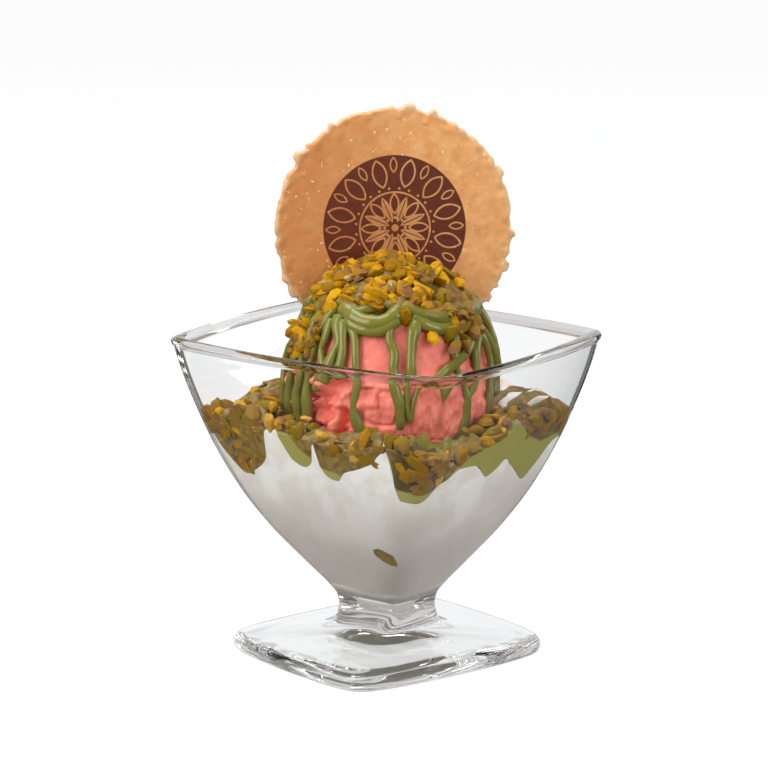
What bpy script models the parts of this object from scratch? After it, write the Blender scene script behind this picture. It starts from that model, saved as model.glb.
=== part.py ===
"""Strawberry sundae in a square footed glass.

A scoop of strawberry ice cream stands in whipped cream, under green pistachio sauce and chopped
pistachios, with a round wafer pushed into its back. Lengths are in millimetres until a mesh is made,
+Z is up, the origin is the middle of the foot's underside, and the front is towards -Y.
"""

import math

import bmesh
import bpy
import numpy as np
from mathutils import Euler, Matrix, Vector

MM = 0.001
GAP = 0.35  # clearance between neighbouring solids

# Glass: height over half the diagonal, from the underside of the foot to the rim
GLASS_HEIGHT = 100.0
RIM_REACH = 65.7
FOOT_REACH = 47.3
STEM_REACH = 14.8
FOOT_EDGE = 5.9
STEM_HEIGHT = 15.5
WALL = 2.3
FLOOR = 20.0
RECESS_DEPTH = 1.2
RECESS_REACH = 37.5
OUTLINE = (
    (0.0, FOOT_REACH - 2.2),
    (0.7, FOOT_REACH - 0.7),
    (2.8, FOOT_REACH),
    (4.9, FOOT_REACH - 0.9),
    (FOOT_EDGE, FOOT_REACH - 3.3),
    (7.3, 30.0),
    (8.6, 20.0),
    (10.0, 16.6),
    (12.5, 15.2),
    (STEM_HEIGHT, STEM_REACH),
    (18.2, 15.3),
    (21.5, 17.7),
    (27.9, 23.9),
    (40.5, 35.8),
    (53.2, 45.3),
    (72.2, 55.5),
    (97.6, 65.3),
    (GLASS_HEIGHT, RIM_REACH),
)
TWIST = ((0.0, -10.5), (6.0, -10.0), (16.0, 6.0), (GLASS_HEIGHT, 13.4))
SIDE_TWIST_SHARE = 0.35  # how far the left and right corners turn, against the front and back ones
BOW = ((0.0, 0.047), (10.0, 0.04), (20.0, 0.03), (GLASS_HEIGHT, 0.05))
CORNER_ROUNDING = ((0.0, 9.0), (7.0, 8.0), (12.0, 3.0), (GLASS_HEIGHT, 3.0))
AROUND = 44  # points round the glass and the cream
CORNER_CROWDING = 0.72

# Scoop: an upright rounded body, widest at its waist
SCOOP_CENTRE = (1.0, 0.0)
SCOOP_REACH = 31.0
SCOOP_WAIST = 80.0
SCOOP_TOP = 120.5
SCOOP_BOTTOM = 57.0
SCOOP_ROUNDNESS = 2.3
SCOOP_AROUND = 36
SCOOP_RINGS = 15

# Cream: how high it stands at the wall and round the scoop
CREAM_AT_SCOOP = 70.5
CREAM_MEAN = 69.0
CREAM_BACK_RISE = 5.5
CREAM_RIGHT_RISE = 1.5
CREAM_LUMPS = 2.8

# Wafer: a disc that leans back and turns a little to the right
WAFER_REACH = 37.0
WAFER_THICKNESS = 2.8
WAFER_CENTRE = (2.2, 15.5, 129.8)
WAFER_LEAN = 6.0
WAFER_TURN = 11.0
WAFER_BURRS = 43
WAFER_AROUND = 86

# Sauce strands: (azimuth from the front at the top, middle and foot, top height, foot height, width)
STRANDS = (
    (-63, -72, -82, 108, 74, 3.2),
    (-70, -60, -61, 111, 81, 2.8),
    (-50, -42, -57, 111, 73.5, 3.4),
    (-34, -24, -17, 109, 74, 4.4),
    (0, 2, 7, 112, 73.5, 3.0),
    (17, 11, 10, 110, 73.5, 3.0),
    (38, 30, 15, 108, 73.5, 3.0),
    (36, 44, 45, 106, 73.5, 4.0),
    (62, 57, 49, 110, 84, 3.2),
    (70, 79, 82, 110, 75, 4.2),
)
BACK_STRANDS = 8
ROPE_SIDES = 5

# Chips of pistachio: their lengths, how many lie where, and the room that each keeps on the cream
NUT_LENGTHS = (3.8, 6.2)
CAP_NUTS = 46
CAP_REACH = 23.0
FLANK_NUTS = 9
CREAM_NUTS = 48
NUT_ROOM = 3.6


def steps_between(places, stations):
    """Reads a smooth curve through the stations that never swings past them."""
    at = np.array([s[0] for s in stations], float)
    value = np.array([s[1] for s in stations], float)
    run = np.diff(at)
    rise = np.diff(value) / run
    slope = np.empty_like(value)
    slope[0], slope[-1] = rise[0], rise[-1]
    same_way = rise[:-1] * rise[1:] > 0
    safe = np.where(same_way, rise[:-1] + rise[1:], 1.0)
    slope[1:-1] = np.where(same_way, 2 * rise[:-1] * rise[1:] / safe, 0.0)
    places = np.clip(np.asarray(places, float), at[0], at[-1])
    k = np.clip(np.searchsorted(at, places, side="right") - 1, 0, len(run) - 1)
    t = (places - at[k]) / run[k]
    held = value[k] * (1 + 2 * t) * (1 - t) ** 2 + value[k + 1] * t * t * (3 - 2 * t)
    bent = slope[k] * run[k] * t * (1 - t) ** 2 - slope[k + 1] * run[k] * t * t * (1 - t)
    return held + bent


def glass_xy(turns, heights, reach=None, inset=0.0):
    """Plan points of the glass: turns runs from 0 to 4, a whole number at each corner.

    Each of the four sides is an arc between two corners. A power mean of the distances to the
    arcs rounds the corners, and the front and back corners twist as the glass rises.
    """
    turns, heights = np.broadcast_arrays(np.asarray(turns, float), np.asarray(heights, float))
    if reach is None:
        reach = steps_between(heights, OUTLINE)
    reach = reach - inset * math.sqrt(2)
    twist = np.radians(steps_between(heights, TWIST))
    bow = steps_between(heights, BOW)
    rounding = np.minimum(steps_between(heights, CORNER_ROUNDING), 0.5 * reach)
    power = 4 * reach / (rounding * (math.sqrt(2) - 1)) * math.log(2) / 4
    sharp = reach * 2 ** (1 / power)

    def corner_angle(k):
        share = np.where(np.mod(k, 2) == 0, SIDE_TWIST_SHARE, 1.0)
        return np.radians(90) * k + twist * share

    quarter = np.floor(turns)
    part = turns - quarter
    part = part - CORNER_CROWDING * np.sin(2 * np.pi * part) / (2 * np.pi)
    angle = corner_angle(quarter) * (1 - part) + corner_angle(quarter + 1) * part
    ray = np.stack([np.cos(angle), np.sin(angle)])
    total = 0.0
    for k in range(4):
        first = sharp * np.stack([np.cos(corner_angle(k)), np.sin(corner_angle(k))])
        second = sharp * np.stack([np.cos(corner_angle(k + 1)), np.sin(corner_angle(k + 1))])
        middle = (first + second) / 2
        chord = np.linalg.norm(second - first, axis=0)
        rise = bow * chord
        arc = (chord**2 / 4 + rise**2) / (2 * rise)
        centre = middle * (1 - (arc - rise) / np.linalg.norm(middle, axis=0))
        along = (ray * centre).sum(axis=0)
        distance = along + np.sqrt(along**2 - (centre**2).sum(axis=0) + arc**2)
        total = total + (distance / reach) ** -power
    return ray * reach * total ** (-1 / power)


def scoop_rings(reach, top, bottom, count):
    """Heights and radii from the top of the scoop to its bottom, as two superellipse quarters."""
    angle = np.linspace(0, np.pi, count)
    power = 2 / SCOOP_ROUNDNESS
    radius = reach * np.sin(angle) ** power
    up = np.abs(np.cos(angle)) ** power
    height = np.where(angle < np.pi / 2, up * (top - SCOOP_WAIST), -up * (SCOOP_WAIST - bottom))
    return SCOOP_WAIST + height, radius


def scoop_radius(heights, grow=0.0):
    """The scoop's radius at each height, grown outwards by a clearance."""
    heights = np.asarray(heights, float)
    span = np.where(heights > SCOOP_WAIST, SCOOP_TOP - SCOOP_WAIST, SCOOP_WAIST - SCOOP_BOTTOM)
    part = np.clip(np.abs(heights - SCOOP_WAIST) / (span + grow), 0, 1)
    return (SCOOP_REACH + grow) * (1 - part**SCOOP_ROUNDNESS) ** (1 / SCOOP_ROUNDNESS)


def on_scoop(azimuth, height, out=0.0):
    """The point on the scoop at an azimuth from the front, in degrees, and a height."""
    radius = float(scoop_radius(height)) + out
    side = math.radians(azimuth)
    return Vector(
        (
            SCOOP_CENTRE[0] + radius * math.sin(side),
            SCOOP_CENTRE[1] - radius * math.cos(side),
            height,
        )
    )


def cream_wall_height(angle):
    """Height of the cream at the wall: higher at the back, with soft lumps round the rim."""
    lumps = np.sin(5 * angle + 0.6) + 0.7 * np.sin(9 * angle + 2.1)
    rise = CREAM_BACK_RISE * np.sin(angle) + CREAM_RIGHT_RISE * np.cos(angle)
    return CREAM_MEAN + rise + CREAM_LUMPS * lumps / 1.7


def material(name, colour, roughness, transmission=0.0):
    made = bpy.data.materials.new(name)
    made.use_nodes = True
    shader = made.node_tree.nodes["Principled BSDF"]
    shader.inputs["Base Color"].default_value = (*colour, 1)
    shader.inputs["Roughness"].default_value = roughness
    shader.inputs["Metallic"].default_value = 0.0
    shader.inputs["Transmission Weight"].default_value = transmission
    return made


def new_object(name, points, faces, finish, collection=None):
    """An object from points in millimetres and faces, with its normals facing out."""
    mesh = bpy.data.meshes.new(name)
    mesh.from_pydata([tuple(MM * float(c) for c in p) for p in points], [], faces)
    bm = bmesh.new()
    bm.from_mesh(mesh)
    bmesh.ops.recalc_face_normals(bm, faces=bm.faces)
    bmesh.ops.triangulate(bm, faces=[f for f in bm.faces if len(f.verts) > 4])
    bm.to_mesh(mesh)
    bm.free()
    mesh.materials.append(finish)
    obj = bpy.data.objects.new(name, mesh)
    (collection or bpy.context.scene.collection).objects.link(obj)
    return obj


def lofted(name, rings, finish, collection=None):
    """Joins rings of equal length in order, a single point closing either end."""
    points, starts = [], []
    for ring in rings:
        starts.append(len(points))
        points.extend(ring)
    faces = []
    for k in range(len(rings) - 1):
        low, high = rings[k], rings[k + 1]
        a, b = starts[k], starts[k + 1]
        count = max(len(low), len(high))
        for i in range(count):
            j = (i + 1) % count
            if len(low) == 1:
                faces.append((a, b + j, b + i))
            elif len(high) == 1:
                faces.append((a + i, a + j, b))
            else:
                faces.append((a + i, a + j, b + j, b + i))
    return new_object(name, points, faces, finish, collection)


def ring_at(xy, heights):
    return [(x, y, z) for x, y, z in zip(xy[0], xy[1], np.broadcast_to(heights, xy[0].shape))]


def make_glass(finish):
    """The foot with its hollow underside, the stem, the bowl's outside, the lip and its inside."""
    turns = np.arange(AROUND) * 4 / AROUND
    rings = [[(0.0, 0.0, RECESS_DEPTH)]]
    for height, reach in ((RECESS_DEPTH, RECESS_REACH - 2.5), (0.0, RECESS_REACH)):
        rings.append(ring_at(glass_xy(turns, 0.0, reach), height))
    for height, reach in OUTLINE[:-1]:
        rings.append(ring_at(glass_xy(turns, height, reach), height))
    for inset, drop in ((0.0, 1.1), (0.35, 0.3), (WALL / 2, 0.0), (WALL - 0.35, 0.3), (WALL, 1.1)):
        height = GLASS_HEIGHT - drop
        rings.append(ring_at(glass_xy(turns, height, inset=inset), height))
    inside = (85.0, 72.2, 62.0, 53.2, 46.0, 40.5, 34.0, 27.9, 24.0, FLOOR + 1.2)
    for height in inside:
        rings.append(ring_at(glass_xy(turns, height, inset=WALL), height))
    floor_reach = float(steps_between(FLOOR, OUTLINE)) - WALL * math.sqrt(2) - 0.8
    rings.append(ring_at(glass_xy(turns, FLOOR, floor_reach), FLOOR))
    rings.append([(0.0, 0.0, FLOOR)])
    return lofted("glass", rings, finish)


def cream_top(angle, wall_xy, wall_z, socket_xy, share):
    """A ring of the cream's top, share of the way from the wall to the scoop."""
    height = wall_z * (1 - share) + CREAM_AT_SCOOP * share
    swell = 4 * share * (1 - share)
    height = height + swell * (1.2 + CREAM_LUMPS * np.sin(4 * angle + 7 * share + 1.0))
    xy = wall_xy * (1 - share) + socket_xy * share
    return ring_at(xy, height)


def make_cream(finish):
    """Fills the bowl up to its lumpy top, with a socket where the scoop stands."""
    turns = np.arange(AROUND) * 4 / AROUND
    base = FLOOR + GAP
    floor_reach = float(steps_between(FLOOR, OUTLINE)) - WALL * math.sqrt(2) - 0.8 - 1.5 * GAP
    rings = [[(0.0, 0.0, base)], ring_at(glass_xy(turns, base, floor_reach), base)]
    rim = glass_xy(turns, CREAM_MEAN)
    angle = np.arctan2(rim[1], rim[0])
    top = cream_wall_height(angle)
    inset = WALL + GAP
    for share in (0.03, 0.12, 0.25, 0.42, 0.6, 0.8, 1.0):
        height = base + 0.8 + (top - base - 0.8) * share
        rings.append(ring_at(glass_xy(turns, height, inset=inset), height))
    wall = np.array(rings[-1]).T
    around_scoop = np.arctan2(wall[1] - SCOOP_CENTRE[1], wall[0] - SCOOP_CENTRE[0])
    direction = np.stack([np.cos(around_scoop), np.sin(around_scoop)])
    centre = np.array(SCOOP_CENTRE)[:, None]

    def socket(height):
        return centre + direction * float(scoop_radius(height, GAP))

    mouth = socket(CREAM_AT_SCOOP)
    for share in (0.12, 0.32, 0.55, 0.8, 1.0):
        rings.append(cream_top(angle, wall[:2], wall[2], mouth, share))
    for height in (66.0, 62.0, 59.0, 57.3):
        rings.append(ring_at(socket(height), height))
    rings.append([(*SCOOP_CENTRE, SCOOP_BOTTOM - GAP)])
    return lofted("cream", rings, finish)


def scoop_relief(azimuth, height):
    """Crags low on the scoop, fading out above the sauce's edge and inside the cream."""
    low = np.clip((104 - height) / 10, 0, 1) * np.clip((height - CREAM_AT_SCOOP - 2) / 4, 0, 1)
    waves = np.sin(5 * azimuth + 0.21 * height) * np.sin(0.33 * height + 1.3 * np.cos(3 * azimuth))
    fine = np.sin(11 * azimuth - 0.4 * height) * np.cos(0.5 * height + 2 * azimuth)
    return low * (0.9 * waves + 0.5 * fine)


def make_scoop(finish):
    heights, radii = scoop_rings(SCOOP_REACH, SCOOP_TOP, SCOOP_BOTTOM, SCOOP_RINGS)
    azimuth = np.arange(SCOOP_AROUND) * 2 * np.pi / SCOOP_AROUND
    rings = [[(*SCOOP_CENTRE, SCOOP_TOP)]]
    for height, radius in zip(heights[1:-1], radii[1:-1]):
        reach = radius + scoop_relief(azimuth, height)
        xy = np.stack(
            [SCOOP_CENTRE[0] + reach * np.sin(azimuth), SCOOP_CENTRE[1] - reach * np.cos(azimuth)]
        )
        rings.append(ring_at(xy, height))
    rings.append([(*SCOOP_CENTRE, SCOOP_BOTTOM)])
    return lofted("scoop", rings, finish)


def rope(name, path, widths, finish, collection, closed=False):
    """A round rope of sauce along a path, its ends drawn to a point."""
    count = len(path)
    rings = []
    for i, (point, width) in enumerate(zip(path, widths)):
        before = path[i - 1] if closed or i else path[i]
        after = path[(i + 1) % count] if closed or i < count - 1 else path[i]
        along = (after - before).normalized()
        side = along.orthogonal() if i == 0 else (side - along * side.dot(along)).normalized()
        across = along.cross(side)
        ring = []
        for k in range(ROPE_SIDES):
            turn = 2 * math.pi * k / ROPE_SIDES
            ring.append(point + (side * math.cos(turn) + across * math.sin(turn)) * width / 2)
        rings.append(ring)
    if closed:
        points = [p for ring in rings for p in ring]
        faces = []
        for i in range(count):
            for k in range(ROPE_SIDES):
                a, b = i * ROPE_SIDES, ((i + 1) % count) * ROPE_SIDES
                n = (k + 1) % ROPE_SIDES
                faces.append((a + k, a + n, b + n, b + k))
        return new_object(name, points, faces, finish, collection)
    rings = [[path[0]]] + rings[1:-1] + [[path[-1]]]
    return lofted(name, rings, finish, collection)


def strand(index, row, finish, collection):
    """One strand that runs down the scoop, thicker at its lower end."""
    first, middle, last, top, foot, width = row
    path, widths = [], []
    count = 9
    for i in range(count):
        t = i / (count - 1)
        turn = first * (1 - t) * (1 - 2 * t) + 4 * middle * t * (1 - t) + last * t * (2 * t - 1)
        height = top + (foot - top) * t
        relief = float(scoop_relief(math.radians(turn), height))
        path.append(on_scoop(turn, height, 0.35 + relief))
        widths.append(width * (0.85 + 0.35 * t * t))
    return rope(f"strand_{index}", path, widths, finish, collection)


def garland(index, height, droop, loops, width, finish, collection):
    """A rope that goes once round the dome in shallow loops."""
    path = []
    count = 26
    for i in range(count):
        turn = 360 * i / count
        drop = droop * math.cos(math.radians(loops * turn) + index)
        path.append(on_scoop(turn, height + drop, 0.6))
    return rope(f"garland_{index}", path, [width] * len(path), finish, collection, closed=True)


def nut(name, place, rng, finish, collection):
    """A chip of pistachio: a long icosahedron with its corners pushed about and turned at random."""
    length = rng.uniform(*NUT_LENGTHS)
    size = Vector((length / 2, length * rng.uniform(0.3, 0.42), length * rng.uniform(0.22, 0.34)))
    bm = bmesh.new()
    bmesh.ops.create_icosphere(bm, subdivisions=1, radius=1.0)
    turn = Euler(rng.uniform(0, math.tau, 3).tolist()).to_matrix()
    points = []
    for corner in bm.verts:
        stretch = Vector([c * s * rng.uniform(0.85, 1.15) for c, s in zip(corner.co, size)])
        points.append(turn @ stretch + place)
    faces = [tuple(v.index for v in f.verts) for f in bm.faces]
    bm.free()
    return new_object(name, points, faces, finish, collection)


def nuts_on_scoop(finish, collection):
    """Chips heaped on the dome by a sunflower spiral, and a run of them down its left side."""
    rng = np.random.default_rng(11)
    golden = 137.508
    for i in range(CAP_NUTS):
        out = CAP_REACH * math.sqrt((i + 0.5) / CAP_NUTS)
        turn = math.radians(i * golden)
        height = SCOOP_TOP - 0.5 * out**2 / 29 + (2.2 if i % 3 == 0 else 0.7)
        place = Vector(
            (SCOOP_CENTRE[0] + out * math.cos(turn), SCOOP_CENTRE[1] + out * math.sin(turn), height)
        )
        nut(f"cap_nut_{i}", place, rng, finish, collection)
    for i in range(FLANK_NUTS):
        turn = -80 + 30 * rng.random()
        nut(f"side_nut_{i}", on_scoop(turn, 112 - 3 * i, 1.0), rng, finish, collection)


def nuts_on_cream(finish, collection):
    """Chips and dabs of sauce spread over the cream by a rule, clear of the wall and the scoop."""
    rng = np.random.default_rng(15)
    for i in range(CREAM_NUTS):
        turns = 4 * i / CREAM_NUTS + 0.04 * rng.standard_normal()
        share = (0.3, 0.62, 0.45)[i % 3]
        wall_xy = glass_xy(turns, CREAM_MEAN, inset=WALL + GAP)
        angle = math.atan2(wall_xy[1], wall_xy[0])
        wall_z = float(cream_wall_height(angle))
        wall_xy = glass_xy(turns, wall_z, inset=WALL + GAP)
        away = Vector((float(wall_xy[0]) - SCOOP_CENTRE[0], float(wall_xy[1]) - SCOOP_CENTRE[1]))
        near = SCOOP_REACH + GAP
        room = away.length - near
        if room < 2.2 * NUT_ROOM:
            continue
        out = near + NUT_ROOM + (room - 2 * NUT_ROOM) * (1 - share)
        flat = Vector(SCOOP_CENTRE) + away.normalized() * out
        inward = 1 - (out - near) / room
        swell = 4 * inward * (1 - inward)
        height = wall_z * (1 - inward) + CREAM_AT_SCOOP * inward
        height += swell * (1.2 + CREAM_LUMPS * math.sin(4 * angle + 7 * inward + 1.0)) + 0.5
        nut(f"cream_nut_{i}", Vector((*flat, height)), rng, finish, collection)


def main_body(mesh):
    """Keeps the largest closed body, which drops loose scraps and fills sealed hollows."""
    bm = bmesh.new()
    bm.from_mesh(mesh)
    unseen = set(bm.verts)
    bodies = []
    while unseen:
        stack = [unseen.pop()]
        body = []
        while stack:
            vert = stack.pop()
            body.append(vert)
            for edge in vert.link_edges:
                other = edge.other_vert(vert)
                if other in unseen:
                    unseen.remove(other)
                    stack.append(other)
        bodies.append(body)
    bodies.sort(key=len)
    bmesh.ops.delete(bm, geom=[v for body in bodies[:-1] for v in body], context="VERTS")
    bm.to_mesh(mesh)
    bm.free()


def combined(obj, operation, collection=None, cutter=None):
    """Applies one Boolean to the object's mesh."""
    modifier = obj.modifiers.new(operation.lower(), "BOOLEAN")
    modifier.operation = operation
    modifier.solver = "EXACT"
    if collection:
        modifier.operand_type = "COLLECTION"
        modifier.collection = collection
    else:
        modifier.object = cutter
    graph = bpy.context.evaluated_depsgraph_get()
    mesh = bpy.data.meshes.new_from_object(obj.evaluated_get(graph))
    obj.modifiers.clear()
    obj.data = mesh
    main_body(mesh)
    bmesh_clean(mesh)


def bmesh_clean(mesh):
    """Merges points nearer than a thousandth of a millimetre, which a Boolean leaves behind."""
    bm = bmesh.new()
    bm.from_mesh(mesh)
    bmesh.ops.remove_doubles(bm, verts=bm.verts, dist=0.001 * MM)
    bmesh.ops.dissolve_degenerate(bm, edges=bm.edges, dist=0.001 * MM)
    bmesh.ops.triangulate(bm, faces=bm.faces)
    bm.to_mesh(mesh)
    bm.free()


def toppings(name, fill):
    """A collection of toppings that fill() makes, for one union."""
    collection = bpy.data.collections.new(name)
    bpy.context.scene.collection.children.link(collection)
    fill(collection)
    return collection


def clear_collection(collection):
    for obj in list(collection.objects):
        bpy.data.objects.remove(obj)
    bpy.data.collections.remove(collection)


def wafer_outline():
    """The wafer's ragged edge: burrs of uneven size round a circle."""
    angle = np.arange(WAFER_AROUND) * 2 * np.pi / WAFER_AROUND
    burr = 0.5 * np.cos(WAFER_BURRS * angle) * (1 + 0.5 * np.sin(5 * angle + 1))
    sway = 0.5 * np.sin(9 * angle + 0.7) + 0.35 * np.sin(14 * angle + 2.2)
    return angle, WAFER_REACH + burr + sway


def wafer_place():
    """Stands the disc up facing the front, leans it back and turns it."""
    turn = Euler((math.radians(90 - WAFER_LEAN), 0, math.radians(WAFER_TURN))).to_matrix().to_4x4()
    return Matrix.Translation(Vector(WAFER_CENTRE) * MM) @ turn


def make_wafer(finish):
    """A thin disc, a little thinner at its edge than in the middle."""
    angle, edge = wafer_outline()
    half = WAFER_THICKNESS / 2
    rings = [[(0.0, 0.0, half)]]
    for scale, level in ((0.965, half), (1.0, 0.35 * half), (1.0, -0.35 * half), (0.965, -half)):
        xy = np.stack([edge * scale * np.cos(angle), edge * scale * np.sin(angle)])
        rings.append(ring_at(xy, level))
    rings.append([(0.0, 0.0, -half)])
    wafer = lofted("wafer", rings, finish)
    wafer.matrix_world = wafer_place()
    return wafer


def slot_cutter(finish):
    """The room that the wafer takes in the scoop, with its clearance."""
    angle = np.arange(40) * 2 * np.pi / 40
    reach = WAFER_REACH + 1.7 + GAP
    half = WAFER_THICKNESS / 2 + GAP
    xy = np.stack([reach * np.cos(angle), reach * np.sin(angle)])
    rings = [[(0.0, 0.0, half)], ring_at(xy, half), ring_at(xy, -half), [(0.0, 0.0, -half)]]
    cutter = lofted("slot_cutter", rings, finish)
    cutter.matrix_world = wafer_place()
    cutter.hide_render = True
    cutter.display_type = "WIRE"
    return cutter


def main():
    for obj in list(bpy.data.objects):
        bpy.data.objects.remove(obj)
    clear = material("clear_glass", (0.95, 0.96, 0.96), 0.02, 1.0)
    white = material("whipped_cream", (0.86, 0.83, 0.79), 0.5)
    pink = material("strawberry_ice_cream", (0.86, 0.21, 0.17), 0.55)
    green = material("pistachio_sauce", (0.24, 0.22, 0.06), 0.25)
    yellow = material("pistachio_chips", (0.62, 0.4, 0.03), 0.5)
    baked = material("wafer_biscuit", (0.68, 0.38, 0.17), 0.7)

    make_glass(clear)

    cream = make_cream(white)
    on_cream = toppings("cream_toppings", lambda group: nuts_on_cream(yellow, group))
    combined(cream, "UNION", collection=on_cream)
    clear_collection(on_cream)

    def dress_scoop(group):
        for index, row in enumerate(STRANDS):
            strand(index, row, green, group)
        rng = np.random.default_rng(3)
        for index in range(BACK_STRANDS):
            turn = 100 + 160 * index / (BACK_STRANDS - 1)
            row = (turn, turn + rng.uniform(-6, 6), turn + rng.uniform(-8, 8))
            row += (rng.uniform(106, 111), rng.uniform(78, 90), rng.uniform(2.8, 4.2))
            strand(len(STRANDS) + index, row, green, group)
        garland(0, 107.5, 1.8, 7, 4.6, green, group)
        garland(1, 112.0, 1.2, 5, 4.4, green, group)
        nuts_on_scoop(yellow, group)

    scoop = make_scoop(pink)
    on_scoop_group = toppings("scoop_toppings", dress_scoop)
    combined(scoop, "UNION", collection=on_scoop_group)
    clear_collection(on_scoop_group)
    make_wafer(baked)
    cutter = slot_cutter(baked)
    bpy.context.view_layer.update()
    combined(scoop, "DIFFERENCE", cutter=cutter)
    bpy.data.objects.remove(cutter)

    for obj in bpy.context.scene.objects:
        obj.data.shade_smooth()
        obj.data.set_sharp_from_angle(angle=math.radians(40))


main()
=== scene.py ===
"""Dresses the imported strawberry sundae: glass, cream, ice cream, pistachio sauce, nut chips and wafer.

Lengths inside the shape functions are in millimetres; a mesh is made in metres. The front is towards -Y.
"""

import math
from itertools import product

import bpy
import numpy as np
from bpy.props import FloatProperty, FloatVectorProperty, IntProperty, PointerProperty
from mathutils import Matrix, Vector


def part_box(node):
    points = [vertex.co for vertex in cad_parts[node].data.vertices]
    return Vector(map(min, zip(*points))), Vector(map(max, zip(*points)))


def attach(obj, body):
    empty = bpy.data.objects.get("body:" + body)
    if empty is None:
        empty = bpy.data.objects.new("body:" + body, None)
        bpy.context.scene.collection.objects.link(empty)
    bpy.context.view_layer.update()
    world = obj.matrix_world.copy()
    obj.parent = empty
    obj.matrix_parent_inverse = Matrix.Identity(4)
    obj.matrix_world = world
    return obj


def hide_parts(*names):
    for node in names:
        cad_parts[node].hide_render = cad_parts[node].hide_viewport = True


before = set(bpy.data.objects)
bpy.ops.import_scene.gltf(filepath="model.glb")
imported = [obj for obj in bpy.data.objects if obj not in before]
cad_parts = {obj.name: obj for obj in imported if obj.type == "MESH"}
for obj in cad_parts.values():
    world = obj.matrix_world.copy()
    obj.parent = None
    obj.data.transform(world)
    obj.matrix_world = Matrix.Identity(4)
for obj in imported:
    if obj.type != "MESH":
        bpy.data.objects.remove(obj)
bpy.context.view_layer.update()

bl_info = {
    "name": "Strawberry Sundae",
    "version": (1, 0, 0),
    "blender": (4, 5, 0),
    "location": "View3D > Sidebar > Sundae",
    "description": "Builds a strawberry sundae in a square footed glass, with its stage and camera",
    "category": "Add Mesh",
}

MM = 0.001
BODY = "root"
GLASS_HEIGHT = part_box("glass")[1].z / MM

# Outline of the glass: (height, half the diagonal)
FOOT_REACH = 47.3
RIM_REACH = 65.7
OUTLINE = (
    (0.0, FOOT_REACH - 2.2),
    (0.7, FOOT_REACH - 0.7),
    (2.8, FOOT_REACH),
    (4.9, FOOT_REACH - 0.9),
    (5.9, FOOT_REACH - 3.3),
    (7.3, 30.0),
    (8.6, 20.0),
    (10.0, 16.6),
    (12.5, 15.2),
    (15.5, 14.8),
    (18.2, 15.3),
    (21.5, 17.7),
    (27.9, 23.9),
    (40.5, 35.8),
    (53.2, 45.3),
    (72.2, 55.5),
    (96.4, 64.4),
    (100.0, RIM_REACH - 0.6),
)

# By height: turn of the front and back corners in degrees, rise of each side over its chord, corner radius
TWIST = ((0.0, -10.5), (6.0, -10.0), (16.0, 6.0), (100.0, 13.4))
SIDE_TWIST_SHARE = 0.35  # how far the left and right corners turn with them
BOW = ((0.0, 0.034), (10.0, 0.034), (20.0, 0.03), (100.0, 0.05))
CORNER_ROUNDING = ((0.0, 7.0), (7.0, 6.5), (12.0, 3.0), (100.0, 3.0))
INNER_ROUNDING = 1.6     # how much rounder a front or back corner is for each millimetre inside the outer skin
SIDE_SHARPENING = 0.6    # how much sharper a side corner is for each millimetre inside the outer skin
LEAST_ROUNDING = 1.6     # no corner gets sharper than this
CORNER_CROWDING = 0.6    # how closely the points of a ring gather at its corners, from 0 to 1
WALL = 2.3
BEAD = 1.6               # radius of the rim's rounded bead
BEAD_BLEND = 0.9         # how softly the bead runs into the wall
BEAD_START = 3.0         # how far below its middle the bead starts to grow
FLOOR = 20.0             # height of the bowl's floor
FLOOR_RISE = 3.0         # height over which the floor turns up into the wall
FLOOR_TURN = 2.2         # how far inside the wall that turn starts
RECESS_DEPTH = 2.7       # hollow under the foot
RECESS_REACH = 41.5
FOOT_TOP, STEM_TOP = 10.0, 30.0
RECESS_RINGS, FOOT_RINGS, STEM_RINGS, BEAD_RINGS = 14, 36, 24, 14

# Scoop: an upright rounded body, widest at its waist, with a torn ledge below which it is rough
SCOOP_X = 1.0
SCOOP_REACH = 31.0
SCOOP_WAIST = 80.0
SCOOP_TOP = 120.5
SCOOP_BOTTOM = 57.0
SCOOP_ROUNDNESS = 2.3
LEDGE = 92.0

# Cream and the layer of sauce and nuts on it
CREAM_BITE = 0.12        # how far the cream reaches into the glass's wall
CREAM_ROUNDING = 1.6     # how far its upper edge turns in
LID_REACH = 12.0         # radius and height of its last ring, inside the scoop
LID_HEIGHT = 68.0
BED_BITE = 0.2           # how far the layer on it reaches into the wall
BED_RETREAT = 1.5        # how far it draws back from the wall where there is none of it
CREAM_AT_SCOOP = 71.0    # height of the cream at the scoop
BED_AT_SCOOP = 2.6       # thickness of the layer at the scoop
BED_SUNK = 3.5           # how far the layer's surface sinks into the cream where there is none of it
CREAM_COLUMNS, BED_COLUMNS, SCOOP_COLUMNS, CAP_COLUMNS, WAFER_COLUMNS = 420, 720, 420, 240, 540
ROPE_COLUMNS = 18

# Where the cream, the sauce and the nutty layer meet the glass: (turn round the glass, height)
CREAM_EDGE = (
    (0.0, 72.0), (0.07, 79.0), (0.12, 75.5), (0.18, 81.0), (0.25, 77.0), (0.33, 81.5), (0.42, 76.0),
    (0.5, 78.0), (0.62, 74.0), (0.8, 79.0), (1.0, 76.0),
    (1.2, 79.0), (1.4, 74.0), (1.6, 77.0), (1.8, 72.0), (1.95, 74.0), (2.05, 66.0), (2.15, 60.0),
    (2.25, 63.0), (2.33, 75.0), (2.38, 77.0), (2.44, 72.0), (2.49, 70.0), (2.525, 75.0), (2.57, 66.0),
    (2.63, 67.0), (2.73, 71.0), (2.78, 76.0), (2.84, 66.0), (2.9, 61.0), (3.05, 61.0), (3.2, 66.0),
    (3.35, 69.0), (3.46, 64.0), (3.53, 68.0), (3.62, 63.0), (3.75, 58.0), (3.86, 68.0), (4.0, 70.0),
)
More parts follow.
